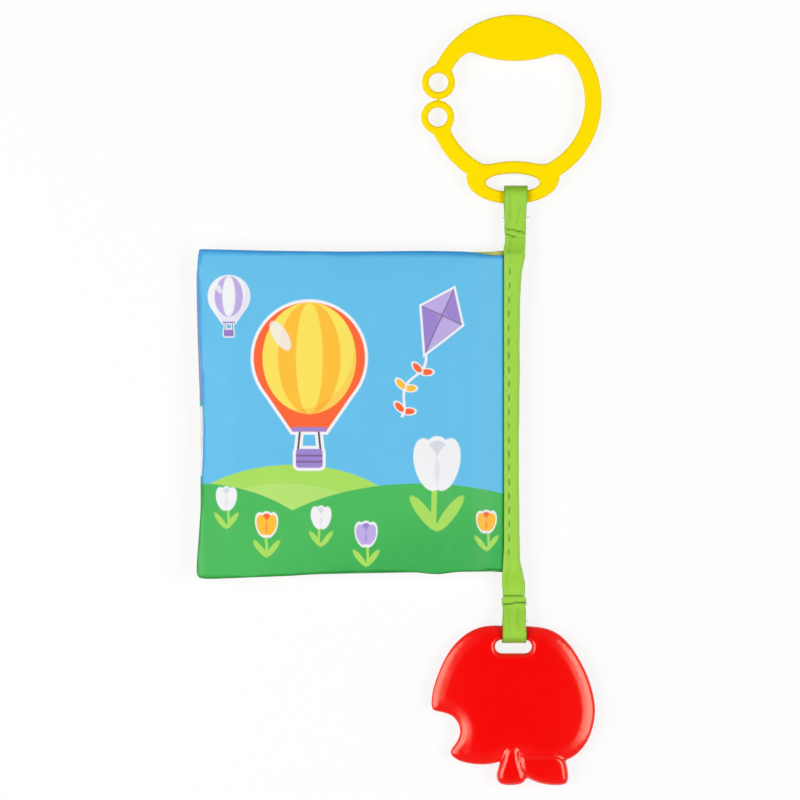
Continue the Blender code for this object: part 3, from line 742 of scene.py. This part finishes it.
def gathered(points, side, edge, root, seed, height):
    """Puckers beside the seams: short folds that run in from the stitches and fade out."""
    x, y = points[:, 0], points[:, 1]
    away = np.exp(-edge / (4.2 * MM))
    long_away = np.exp(-edge / (10 * MM))
    top_or_bottom = np.abs(y - BOOK_Y) > 0.045
    along = np.where(top_or_bottom, x + 0.15 * edge, y + 0.1 * edge)
    start = np.where(y > BOOK_Y, 0.0, 2.3) + np.where(top_or_bottom, 0.0, 4.1) + seed
    fold = ripples(along, start, 7.5 * MM) * away + 0.5 * ripples(along, start + 1, 17 * MM) * long_away
    share = np.where(top_or_bottom, 1.0, 0.55) * ease(root / (9 * MM)) * ease(edge / (0.8 * MM))
    return side * height * fold * share


def creased(points, creases):
    """Soft creases: a valley with a low ridge beside it, each from one place to another in millimetres."""
    found = np.zeros(len(points))
    for start, end, width, depth in creases:
        start, end = np.array(start) * MM, np.array(end) * MM
        run = end - start
        length = np.linalg.norm(run)
        off = points[:, :2] - start
        along = off @ run / length**2
        beside = (off @ np.array((-run[1], run[0]))) / length
        beside = beside + 0.6 * MM * np.sin(7 * along)
        fading = ease(along / 0.3) * ease((1 - along) / 0.3) * ((along > 0) & (along < 1))
        valley = bell(beside, width * MM) - 0.55 * bell(beside - 1.9 * width * MM, 1.2 * width * MM)
        found = found - depth * MM * valley * fading
    return found


def make_leaf(name, leaf, materials, limits, seed, creases=()):
    """A leaf's cloth. limits are how far its upper and lower faces may stray inwards and outwards."""
    made, side, edge, root = leaf.mesh(name + "_cloth", materials)
    base = mesh_points(made.data)
    points = settle(made, root)
    free = ease(root / (6 * MM))
    moved = points - base
    moved[:, :2] = soft_cap(moved[:, :2], 0.3 * MM, 0.3 * MM) * free[:, None]
    lift = moved[:, 2] * np.where(side == 0, 1, side)
    lift = lift - 0.45 * MM * ease(edge / (6 * MM))
    lift = lift + gathered(base, np.abs(side), edge, root, seed, 0.22 * MM)
    lift = (lift + np.where(side > 0, creased(base, creases), 0)) * free
    wander = 0.32 * MM * ripples(base[:, 0] + 0.7 * base[:, 1], seed + 3, 31 * MM) * free
    up, down = limits
    capped = np.where(side > 0, soft_cap(lift, *up), -soft_cap(lift, *down))
    capped = np.where(side == 0, soft_cap(moved[:, 2], 0.3 * MM, 0.3 * MM) * free, capped)
    points = base + moved
    points[:, 2] = base[:, 2] + capped + wander * np.exp(-edge / (2.5 * MM))
    set_points(made.data, points)
    made.modifiers.new("subdivision", "SUBSURF").levels = 1
    apply_modifiers(made)
    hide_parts(name + "_front_fabric", name + "_back_fabric")
    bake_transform(made)
    return made


# How far the seams stray outwards from their even lines, by the distance from the loose edge
# or, along the loose edge, inwards by the distance over the middle, in millimetres
FRONT_SEAMS = {
    "lower": (
        (0, 0.7), (3.3, 0.75), (39, 0.42), (55.6, -0.1), (69.6, -0.2), (93.8, 0.4), (99, 1.1),
        (102.8, 1.35), (107, 0.9), (112, 0.45), (128, 0),
    ),
    "upper": (
        (0, -0.8), (8, -0.7), (21, -0.6), (45, -0.2), (60, 0.07), (78, 0.65), (92, 1.1), (99, 1.3),
        (113.8, 1.25), (121, 0.56), (128, -0.25),
    ),
    "loose": (
        (-70, 0.4), (-65, 0.45), (-60.5, 0.75), (-54, 1.3), (-48, 1.75), (-44, 2.0), (-38, 2.4), (-28, 2.7),
        (-18.5, 3.2), (-7.8, 3.4), (6, 3.0), (13, 2.75), (20, 2.5), (25, 2.15), (31, 1.75), (40, 1.45),
        (48, 1.2), (59, 0.85), (64, 0.85), (67, 1.25), (70, 1.6),
    ),
}
REAR_SEAMS = {
    "lower": ((0, 0), (12, 0.1), (17, -0.4), (60, -0.7), (100, -1.1), (128, -1.3)),
    "upper": ((0, -1.3), (60, -1.4), (100, -1.2), (112, -0.75), (128, -0.35)),
    "loose": (
        (-70, 0.2), (-58, 0.8), (-48, 1.5), (-44, 1.75), (-36, 1.85), (-22, 1.75), (-4, 1.65), (6, 1.5),
        (11, 1.4), (17, 1.1), (25, 0.85), (31, 0.6), (40, 0.4), (48, 0.2), (59, 0.05), (62, 0.3), (64, 1.2),
        (70, 1.7),
    ),
}
FRONT_CREASES = (
    ((25.1, 33.9), (38.3, 23.3), 1.6, 0.50),
    ((33.0, 2.6), (43.4, -3.9), 1.3, 0.42),
    ((-51.8, 60.5), (-53.5, 68.0), 1.5, 0.45),
    ((-39.5, 58.5), (-41.8, 66.5), 1.6, 0.40),
    ((7.7, -68.0), (12.0, -74.0), 1.5, 0.40),
    ((-84.0, 12.0), (-72.0, 5.0), 1.8, 0.35),
    ((-20.0, 60.0), (4.0, 57.0), 2.6, 0.30),
    ((30.0, -52.0), (42.5, -62.0), 1.9, 0.40),
    ((-83.0, -38.0), (-66.0, -43.0), 2.2, 0.30),
)

front_print = print_material("front_print", SKY, front_picture, painted_shade_strength=0.8)
inner_print = print_material("inner_print", PALE_LIME, dotted_picture(8, (LIME, TEAL, YELLOW)), flip=True)
layer_print = print_material("layer_print", SAND, layered_picture)
warm_print = print_material("warm_print", GOLD, dotted_picture(7, (YELLOW, ORANGE)), flip=True)
field_print = print_material("field_print", LIME, checked_picture)
back_print = print_material("back_print", SKY, dotted_picture(8, (LIME, YELLOW, PURPLE)), flip=True)

tight = (0.28 * MM, 0.11 * MM)
front = Leaf(1, FRONT_HEIGHTS, FRONT_SEAMS, 0.45 * MM)
middle = Leaf(0, REAR_HEIGHTS, REAR_SEAMS)
back = Leaf(-1, REAR_HEIGHTS, REAR_SEAMS)
make_leaf("front_cover", front, [front_print, inner_print], ((0.7 * MM, 0.7 * MM), tight), 0.4, FRONT_CREASES)
make_leaf("middle_leaf", middle, [layer_print, warm_print], (tight, tight), 1.9)
make_leaf("back_cover", back, [field_print, back_print], (tight, (0.3 * MM, 0.02 * MM)), 3.1)


# Green tape, its shapes in millimetres and the pitch of its weave in metres


def tape_material(name, colour, dark, rib_pitch):
    """Polyester tape: fine ribs across its length, with shade painted into its creases, folds, stitch dimples
    and slot.
    """
    made, tree, shader = shader_tree(name, 0.46, 0.4, Sheen_Weight=0.25, Sheen_Roughness=0.35)
    place = attribute(tree, "tape_place")
    across, along, painted_shade = separate(tree, place)
    ribs = (along * (pi / rib_pitch)).work("SINE").size()
    fine = (across * (pi / 0.00026)).work("SINE").size()
    cloth = ribs * 0.7 + fine * 0.3
    base = shaded(tree, colour, noise(tree, place, 420, 3), 0.94, 1.05)
    base = shaded(tree, base, cloth, 0.95, 1.02)
    # Painted shade where the tape's place says so: in creases, along stitches, on folds and rolled edges,
    # inside the slot.
    feed(tree, shader.inputs["Base Color"], mixed(tree, painted_shade, base, dark))
    bump(tree, shader, cloth, 0.00006, 0.6)
    return made


TAPE_GREEN = linear(158, 213, 62)
# TAPE_DARK is the colour of the tape's painted shade.
TAPE_DARK = linear(74, 142, 14)
green_tape = tape_material("green_tape", TAPE_GREEN, TAPE_DARK, 0.00042)
green_thread = tape_material("green_thread", linear(88, 156, 22), TAPE_DARK, 0.0003)
pale_thread = tape_material("pale_thread", linear(190, 238, 112), TAPE_GREEN, 0.0003)

TAPE = 0.8
RIBBON = 0.6
STRAP_HALF = 5.05
SPINE_HALF = 3.2
CLOSED_HALF = 0.78
SPINE_END = 74.1
CLOSING_START = 66.5
CAVITY_END = 69.5
BOUND_DEPTH = 4.45
CROSS_SEAM = 68.4  # the seam across the spine's upper end

STITCH_PITCH = 5.95
STITCH_HALF = 1.15
STITCH_PLACES = [-59.2 + i * STITCH_PITCH for i in range(21)]

# By the place along the spine from its middle: its width, and its row of stitches from its left edge
SPINE_WIDTHS = (
    (-74.1, 9.9), (-72.4, 9.75), (-70.0, 9.4), (-67.5, 8.8), (-65.1, 8.0), (-62.6, 7.3), (-59.0, 6.95),
    (-52.0, 6.7), (-38.0, 6.45), (0.0, 6.6), (28.0, 6.75), (47.9, 7.1), (56.6, 7.4), (59.8, 7.65),
    (63.0, 8.3), (66.3, 9.1), (70.0, 9.05), (74.1, 8.6),
)
STITCH_ROWS = ((-60, 2.15), (20, 2.10), (38, 1.90), (45, 2.05), (55, 2.35), (62, 2.50))


def on_spine(x, y, z):
    """A place in the world: across the spine from where the leaves enter it, along it and up."""
    return ROOT_X + x * MM, BOOK_Y + y * MM, STACK_Z + z * MM


def stitch_share(y):
    """1 in the middle of a stitch of the spine's row, 0 between stitches."""
    off = min(abs(y - place) for place in STITCH_PLACES)
    return ease((STITCH_HALF + 0.5 - off) / 0.9)


def stitch_row(y):
    return np.interp(y, *zip(*STITCH_ROWS))


def spine_relief(x, y):
    """How far the spine's face stands out beside its row of stitches."""
    stitch, off = stitch_share(y), x - stitch_row(y)
    rise = 0.20 * bell(x - 0.75, 0.55) - (0.14 + 0.30 * stitch) * bell(off, 0.42)
    rise += (0.06 + 0.12 * stitch) * bell(off - 0.95, 0.5) - 0.12 * bell(y - CROSS_SEAM, 0.7)
    rise += 0.07 * cos(2 * pi * (y + 0.35 * off) / STITCH_PITCH) * exp(-abs(off) / 1.6)
    return rise + 0.06 * sin(y / 3.4 + 1.1 * x) + 0.05 * sin(y / 7.9 - 1.7 * x)


def spine_half(y):
    """Half of the spine's thickness, which closes flat at both ends, and how open it is."""
    closing = ease((abs(y) - CLOSING_START) / (SPINE_END - CLOSING_START))
    return SPINE_HALF + (CLOSED_HALF - SPINE_HALF) * closing, 1 - closing


def spine_left(y):
    """Where the spine's left edge runs: out a little over its lower end and in over its upper end."""
    return 0.5 * ease((y - 69.5) / 4) - 0.8 * ease((-y - 54) / 20)


def spine_section(y):
    """The folded tape's outline and the shade painted at each point of it: its outer turn, then the slot for
    the leaves.
    """
    width = np.interp(y, *zip(*SPINE_WIDTHS))
    half, opening = spine_half(y)
    left = spine_left(y)
    depth = BOUND_DEPTH * (1 - ease((abs(y) - CAVITY_END) / 0.5)) + 0.05
    slot = max(half - TAPE, 0.06)
    fold = min(half * 0.6, 0.4 * width)
    lip = min(0.35, (half - slot) * 0.45)
    flat = width - fold
    top = []
    for turn in np.linspace(pi, pi / 2, 5):
        top.append((left + lip + lip * cos(turn), half - lip + lip * sin(turn), 0.0))
    for x in lip + (flat - lip) * np.linspace(0.04, 1, 19):
        # Painted shade along the row of stitches, deepest in each stitch's dimple, and in the seam across the
        # upper end.
        painted_shade = (0.2 + 0.75 * stitch_share(y)) * bell(x - stitch_row(y), 0.34)
        painted_shade += 0.30 * bell(y - CROSS_SEAM, 0.8)
        top.append((left + x, half + spine_relief(x, y) * (0.25 + 0.75 * opening), painted_shade))
    # Painted shade deepening down the outer turn towards its right-hand side.
    for turn in np.linspace(pi / 2, 0, 11)[1:]:
        top.append((left + flat + fold * cos(turn), half * sin(turn), 0.25 * cos(turn) ** 4))
    under = [(x, -z, painted_shade) for x, z, painted_shade in reversed(top[:-1])]
    # The slot's walls carry painted shade.
    inner = ((0.12, -1), (0.55, -1), (1.0, -1), (1.0, 1), (0.55, 1), (0.12, 1))
    return top + under + [(left + depth * share, way * slot, 0.6) for share, way in inner]


def lofted(rings):
    """Faces between closed rings of points, listed one after the other, with both ends closed."""
    size, last = len(rings[0]), (len(rings) - 1) * len(rings[0])
    faces = []
    for first in range(0, last, size):
        for j in range(size):
            a, b = first + j, first + (j + 1) % size
            faces.append((a, b, b + size, a + size))
    return faces + [tuple(reversed(range(size))), tuple(range(last, last + size))]


def face_out(made):
    """Turns every face of a closed mesh outwards."""
    work = bmesh.new()
    work.from_mesh(made.data)
    bmesh.ops.recalc_face_normals(work, faces=work.faces)
    work.to_mesh(made.data)
    work.free()


def taped(name, lofts, places, material):
    """Closed pieces of tape or thread through rings of points, with the places that their material reads."""
    points, faces = [], []
    for rings in lofts:
        faces += [tuple(len(points) + k for k in face) for face in lofted(rings)]
        points += sum(rings, [])
    made = new_object(name, points, faces, [material])
    face_out(made)
    set_place(made.data, "tape_place", places)
    return made


def make_spine():
    """The binding: one tape folded round the sewn edges of the leaves and closed flat at both ends."""
    ends = np.linspace(CAVITY_END - 0.6, SPINE_END, 15)
    field = np.linspace(0.6 - CAVITY_END, CAVITY_END - 0.6, 260)
    rings, places = [], []
    for y in np.concatenate((-ends[::-1], field[1:-1], ends)):
        section = spine_section(y)
        girth = np.cumsum([0] + [dist(a[:2], b[:2]) for a, b in zip(section, section[1:])])
        sway = 0.10 * sin(y / 9) + 0.05 * sin(y / 3.1 + 2)
        rings.append([on_spine(x + sway * (x > 3), y, z) for x, z, _ in section])
        places += [(along * MM, y * MM, painted_shade) for (_, _, painted_shade), along in zip(section, girth)]
    made = taped("spine_tape", [rings], places, green_tape)
    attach(made, "spine")
    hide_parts("spine_binding")


def unit(vectors):
    return vectors / np.linalg.norm(vectors, axis=1)[:, None]


def threads(name, lines, radius, material):
    """Sewing threads: a thin round tube along each line, narrowed at its ends."""
    lofts, places = [], []
    turns = np.linspace(0, 2 * pi, 7)[:-1]
    for line in lines:
        line = np.asarray(line)
        run = unit(np.gradient(line, axis=0))
        beside = unit(np.cross(run, (0, 0, 1)))
        over = np.cross(beside, run)
        rings = []
        for i, middle in enumerate(line):
            reach = radius * (0.35, 0.8, 1.0)[min(i, len(line) - 1 - i, 2)]
            spokes = [cos(t) * beside[i] + sin(t) * over[i] for t in turns]
            rings.append([tuple(middle + reach * spoke) for spoke in spokes])
            places += [(t * radius, i * radius, 0.0) for t in turns]
        lofts.append(rings)
    return taped(name, lofts, places, material)


def make_spine_stitches():
    """The row of stitches that closes the binding, each from one needle hole towards the next."""
    lines = []
    for place in STITCH_PLACES[:-1]:
        line = []
        for share in np.linspace(-1, 1, 9):
            y = place + STITCH_PITCH / 2 + 1.6 * share
            height = spine_half(y)[0] + spine_relief(stitch_row(y), y) + 0.10 - 0.32 * share**4
            line.append(on_spine(spine_left(y) + stitch_row(y) + 0.12 * share, y, height))
        lines.append(line)
    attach(threads("spine_stitches", lines, 0.17 * MM, pale_thread), "spine")


def curve_through(anchors, steps):
    """A smooth line through the anchors, with steps points to each stretch."""
    anchors = np.asarray(anchors, float)
    padded = np.concatenate((anchors[:1], anchors, anchors[-1:]))
    t = (np.arange(steps) / steps)[:, None]
    found = []
    for a, b, c, d in zip(padded, padded[1:], padded[2:], padded[3:]):
        swing = (c - a) * t + (2 * a - 5 * b + 4 * c - d) * t**2
        found.append(b + (swing + (3 * b - a - 3 * c + d) * t**3) / 2)
    return np.concatenate((*found, anchors[-1:]))


class Strap:
    """A ribbon doubled into a loop round its bar, pinched flat where bar tacks close it."""

    def __init__(self, body, bend, bar, way, neck, loop, slack, marks):
        self.name, self.bend, self.way = body, bend, way
        self.reach = dist(bend[1:], bar[1:]) / MM
        self.tilt = atan2(bend[2] - bar[2], abs(bar[1] - bend[1]))
        self.neck, self.loop, self.slack, self.marks = neck, loop, slack, marks

    def path(self):
        """The ribbon's middle line along the strap and up from it: out, round the bar and back."""
        radius = self.loop + RIBBON / 2
        lay = RIBBON / 2 + 0.02
        turns = np.radians((104, 80, 58, 36, 18, 0))
        spare = self.slack * np.maximum(np.cos(turns), 0) ** 0.5
        line = [(-3.6, lay), (-1.2, lay), (self.neck * 0.45, lay), (self.neck, lay + 0.10)]
        line.append((self.neck + 0.45 * (self.reach - self.neck), lay + 0.52 * (radius - lay)))
        line += zip(self.reach + spare + radius * np.cos(turns), radius * np.sin(turns))
        line += [(s, -z) for s, z in reversed(line[:-1])]
        return curve_through(line, 7)

    def place(self, across, s, z):
        """A place in the world: across the strap, along it from its bend, and up from it."""
        c, si = cos(self.tilt), sin(self.tilt)
        move = across, self.way * (s * c + z * si), z * c - s * si
        return tuple(start + step * MM for start, step in zip(self.bend, move))

    def across(self, share, s):
        """Where a share of the strap's width lies, between edges that are never quite straight."""
        places, left, right = zip(*self.marks["edges"])
        left, right = np.interp(s, places, left), np.interp(s, places, right)
        return (left - right) / 2 + share * (STRAP_HALF - (left + right) / 2)

    def tack(self, k, share):
        """Where a tack crosses the strap, and how deep it is sewn there."""
        shares, places, depths = zip(*self.marks["tacks"][k])
        return np.interp(share, shares, places), np.interp(share, shares, depths)

    def relief(self, share, s):
        """How far the ribbon's face stands out, and how much shade is painted on it: at its rolled edges, in
        its grooves and over its tacks.
        """
        rise = 0.05 * sin(4.1 * share + s / 2.3)
        # Painted shade: a little towards the edges and strongly at them, then in each groove and over each
        # tack below.
        dark = 0.08 * share**2 + 0.6 * max(0, 1 - (1 - abs(share)) / 0.08)
        for middle, lean, width, low, high, depth in self.marks["grooves"]:
            lasting = ease((s - low) / 2.2) * ease((high - s) / 2.2)
            groove = bell(share - middle - lean * (s - low), width) * lasting
            rise -= 0.18 * depth * groove
            dark += 0.34 * depth * groove
        tacks = [self.tack(k, share) for k in (0, 1)]
        for place, depth in tacks:
            rise -= 0.30 * depth * bell(s - place, 0.40)
            dark += 0.9 * depth * bell(s - place, 0.34)
        rise += 0.16 * bell(s - (tacks[0][0] + tacks[1][0]) / 2, 0.75)
        return rise, max(dark, 0)

    def make(self):
        path = self.path()
        travel = np.cumsum([0, *np.linalg.norm(np.diff(path, axis=0), axis=1)])
        shares = np.linspace(-1, 1, 41)
        rings, places = [], []
        for (s, z), (run_s, run_z), along in zip(path, unit(np.gradient(path, axis=0)), travel):
            past = abs(along - travel[-1] / 2)
            # Painted shade over the loop's fold round the bar, darkest at the fold's end.
            fold = 0.9 * bell(past, 1.0) + 0.26 * (1 - ease((past - 3.2) / 2.6))
            outwards = 1 if z >= 0 else -1
            rings.append([])
            for face, share in [(1, k) for k in shares] + [(-1, k) for k in shares[::-1]]:
                edge = max(0, 1 - (1 - abs(share)) / 0.07)
                rise, dark = self.relief(share, s)
                shift = face * RIBBON / 2 * sqrt(1 - 0.92 * edge**2)
                shift += outwards * rise * (1 - edge) * (1 if face == outwards else 0.2)
                rings[-1].append(self.place(self.across(share, s), s - run_z * shift, z + run_s * shift))
                places.append((share * STRAP_HALF * MM, along * MM, min(dark + fold, 1)))
        made = taped(self.name + "_tape", [rings], places, green_tape)
        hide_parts(self.name)
        self.bend_with(made)
        self.bend_with(self.sewing())

    def sewing(self):
        """Bar tacks over both faces, and the cut ends of their threads."""
        lines = []
        for k in (0, 1):
            sewn = [share for share in np.linspace(-0.9, 0.9, 57) if self.tack(k, share)[1] > 0.4]
            for face in (1, -1):
                line = []
                for step, share in enumerate(sewn):
                    s = self.tack(k, share)[0] + (0.16 if step % 2 else -0.16)
                    height = RIBBON + 0.04 + self.relief(share, s)[0]
                    line.append(self.place(self.across(share, s), s, face * height))
                lines.append(line)
        for side, s, length in self.marks["ends"]:
            start = self.across(0.97 * side, s)
            moves = [(side * length * t, 0.4 * length * t * t, 0.3 * t) for t in np.linspace(0, 1, 6)]
            lines.append([self.place(start + out, s + on, up) for out, on, up in moves])
        return threads(self.name + "_tacks", lines, 0.11 * MM, green_thread)

    def bend_with(self, piece):
        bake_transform(piece)


# What marks each strap, along it from its bend. Edges: how far the left and right edges lie inwards.
# Grooves: share of the width and its lean, width, first and last place, depth.
# Tacks: share of the width, place and depth. Ends: side, place and length of a loose thread end.
UPPER_MARKS = {
    "edges": (
        (-3.8, 0.48, 0.94), (-0.2, 0.64, 1.0), (1.7, 0.35, 0.84), (3.7, 0.25, 0.68), (7.6, 0.31, 0.68),
        (14.1, 0.05, 0.42), (20.6, 0.2, 0.0),
    ),
    "grooves": (
        (-0.48, 0, 0.075, 5.5, 18, 1.0), (0.12, 0.04, 0.09, 4.2, 14, 0.75), (-0.72, 0.01, 0.06, 3, 20, 0.3),
    ),
    "tacks": (
        (
            (-1, 1.2, 0.5), (-0.5, 0.25, 0.85), (-0.3, -0.16, 1), (0, -0.3, 0.65), (0.15, -0.3, 0.15),
            (1, -0.35, 0.05),
        ),
        (
            (-1, 3.0, 0.35), (-0.5, 2.85, 0.55), (-0.32, 2.75, 0.3), (-0.15, 2.5, 0.95), (0.4, 1.9, 0.9),
            (1, 1.4, 0.5),
        ),
    ),
    "ends": ((-1, 7.6, 1.1), (1, 7.9, 1.5), (1, 0.7, 0.8)),
}
LOWER_MARKS = {
    "edges": (
        (-3, 0.0, 0.4), (0, 0.2, 0.27), (1.3, 0.35, 0.3), (3.0, 0.5, 0.5), (4.5, 0.0, -0.2),
        (6.2, 0.0, -0.25), (7.1, 0.2, 0.2), (9.6, 0.4, -0.1), (14.4, 0.2, 0.1), (19.3, 0.25, -0.25),
        (22.3, 0.05, -0.25),
    ),
    "grooves": (
        (0.30, 0, 0.17, 7.0, 18, 0.55), (-0.40, 0, 0.06, 7.0, 21, 0.55), (-0.62, 0, 0.06, 6.8, 12, 0.4),
    ),
    "tacks": (
        ((-1, 2.9, 0.3), (-0.75, 2.9, 1), (0.6, 2.95, 1), (0.85, 3.0, 0.4), (1, 3.0, 0.2)),
        (
            (-1, 6.5, 0.75), (-0.3, 6.3, 0.75), (-0.1, 6.1, 0.7), (0.12, 5.6, 0.85), (0.9, 5.75, 0.9),
            (1, 5.8, 0.5),
        ),
    ),
    "ends": ((1, 13.4, 1.3), (1, 4.1, 0.6), (1, 6.4, 0.6), (-1, 4.3, 0.5)),
}

make_spine()
make_spine_stitches()
Strap("upper_strap", UPPER_BEND, RING_BAR, 1, 7.35, 3.45, 1.25, UPPER_MARKS).make()
Strap("lower_strap", LOWER_BEND, TEETHER_BAR, -1, 7.6, 3.85, 0, LOWER_MARKS).make()


# Ring and teether


def plastic(name, colour, deep, roughness, specular, tint):
    """Moulded plastic with a faint unevenness in colour, gloss and surface."""
    made, tree, shader = shader_tree(name, roughness, specular, Specular_Tint=tint)
    place = new_node(tree, "TexCoord").outputs["Object"]
    feed(tree, shader.inputs["Base Color"], mixed(tree, noise(tree, place, 60, 3), colour, deep))
    grain = noise(tree, place, 2600, 4, 0.6)
    scuffs = noise(tree, place, 240, 5, 0.65)
    feed(tree, shader.inputs["Roughness"], scuffs.times_plus(0.10, roughness - 0.05))
    bump(tree, shader, grain * 0.5 + scuffs * 0.5, 0.00003, 0.5)
    return made


def dome(node, middle_share, reach_share, fall):
    """Lets a moulding's faces fall towards its rim. The middle and the reach are shares of its half."""
    tree = bpy.data.node_groups.new("dome", "GeometryNodeTree")
    for way in ("INPUT", "OUTPUT"):
        tree.interface.new_socket("Geometry", in_out=way, socket_type="NodeSocketGeometry")
    corners = np.array(node.bound_box)
    half = np.ptp(corners, axis=0) / 2
    middle = corners.min(axis=0) + half
    x, y, z = separate(tree, tree.nodes.new("GeometryNodeInputPosition").outputs[0])
    starts, reaches = (middle + half * middle_share).tolist(), (half * reach_share).tolist()
    u, v = [(place - start) * (1 / reach) for place, start, reach in zip((x, y), starts, reaches)]
    past = (u.work("MULTIPLY_ADD", u, v * v).root() - 0.25).most(0)
    level = float(middle[2])
    height = (z - level) * (past * past).times_plus(-fall, 1.0) + level
    spot = new_node(tree, "CombineXYZ")
    for socket, field in zip(spot.inputs, (x, y, height)):
        feed(tree, socket, field)
    move = tree.nodes.new("GeometryNodeSetPosition")
    feed(tree, move.inputs["Geometry"], tree.nodes.new("NodeGroupInput").outputs[0])
    feed(tree, move.inputs["Position"], spot.outputs[0])
    feed(tree, tree.nodes.new("NodeGroupOutput").inputs[0], move.outputs[0])
    node.modifiers.new("dome", "NODES").node_group = tree


def even_out(made, voxel):
    """Gives a piece of facets the even surface of a moulding."""
    even = made.modifiers.new("even", "REMESH")
    even.mode = "VOXEL"
    even.voxel_size = voxel
    even.use_smooth_shade = True
    soft = made.modifiers.new("soft", "SMOOTH")
    soft.factor = 0.5
    soft.iterations = 10


def dress(node, material, voxel):
    """Gives a moulded node its finish."""
    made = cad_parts[node]
    made.data.materials.clear()
    made.data.materials.append(material)
    even_out(made, voxel)
    return made


# The ring's round inner corners beside its grip, in millimetres, each closed inside the ring
GRIP_CORNERS = {
    "left": (
        (24.5, 143.2), (26.35, 145.7), (28.5, 147.3), (31.2, 147.95), (33.9, 147.3), (32.0, 150.0),
        (26.0, 149.5),
    ),
    "right": (
        (75.1, 141.8), (76.5, 145.0), (70.0, 150.0), (65.0, 149.0), (64.3, 146.6), (67.0, 147.1),
        (69.7, 146.7), (71.9, 145.3), (73.5, 143.7),
    ),
}
RING_HALF = 1.96 * MM
RING_VOXEL = 0.26 * MM
TEETHER_VOXEL = 0.45 * MM


def make_grip_corner(side, material):
    """Fills a corner of the ring up to its round edge."""
    levels = RING_BAR[2] - RING_HALF, RING_BAR[2] + RING_HALF
    rings = [[(x * MM, y * MM, z) for x, y in GRIP_CORNERS[side]] for z in levels]
    made = new_object("ring_grip_corner_" + side, sum(rings, []), lofted(rings), [material])
    face_out(made)
    soft = made.modifiers.new("edges", "BEVEL")
    soft.width = 0.9 * MM
    soft.segments = 4
    even_out(made, RING_VOXEL)
    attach(made, "hanging_ring")


yellow = linear(255, 226, 0), linear(253, 220, 0)
red = linear(254, 0, 0), linear(248, 0, 1)
yellow_plastic = plastic("yellow_ring_plastic", *yellow, 0.36, 0.18, (1, 0.9, 0.3, 1))
red_plastic = plastic("red_teether_plastic", *red, 0.22, 1.0, (1, 0.78, 0.58, 1))
dress("hanging_ring", yellow_plastic, RING_VOXEL)
dome(dress("apple_teether", red_plastic, TEETHER_VOXEL), (0.10, 0, 0), (1, 1.3, 1), 0.75)
for side in GRIP_CORNERS:
    make_grip_corner(side, yellow_plastic)
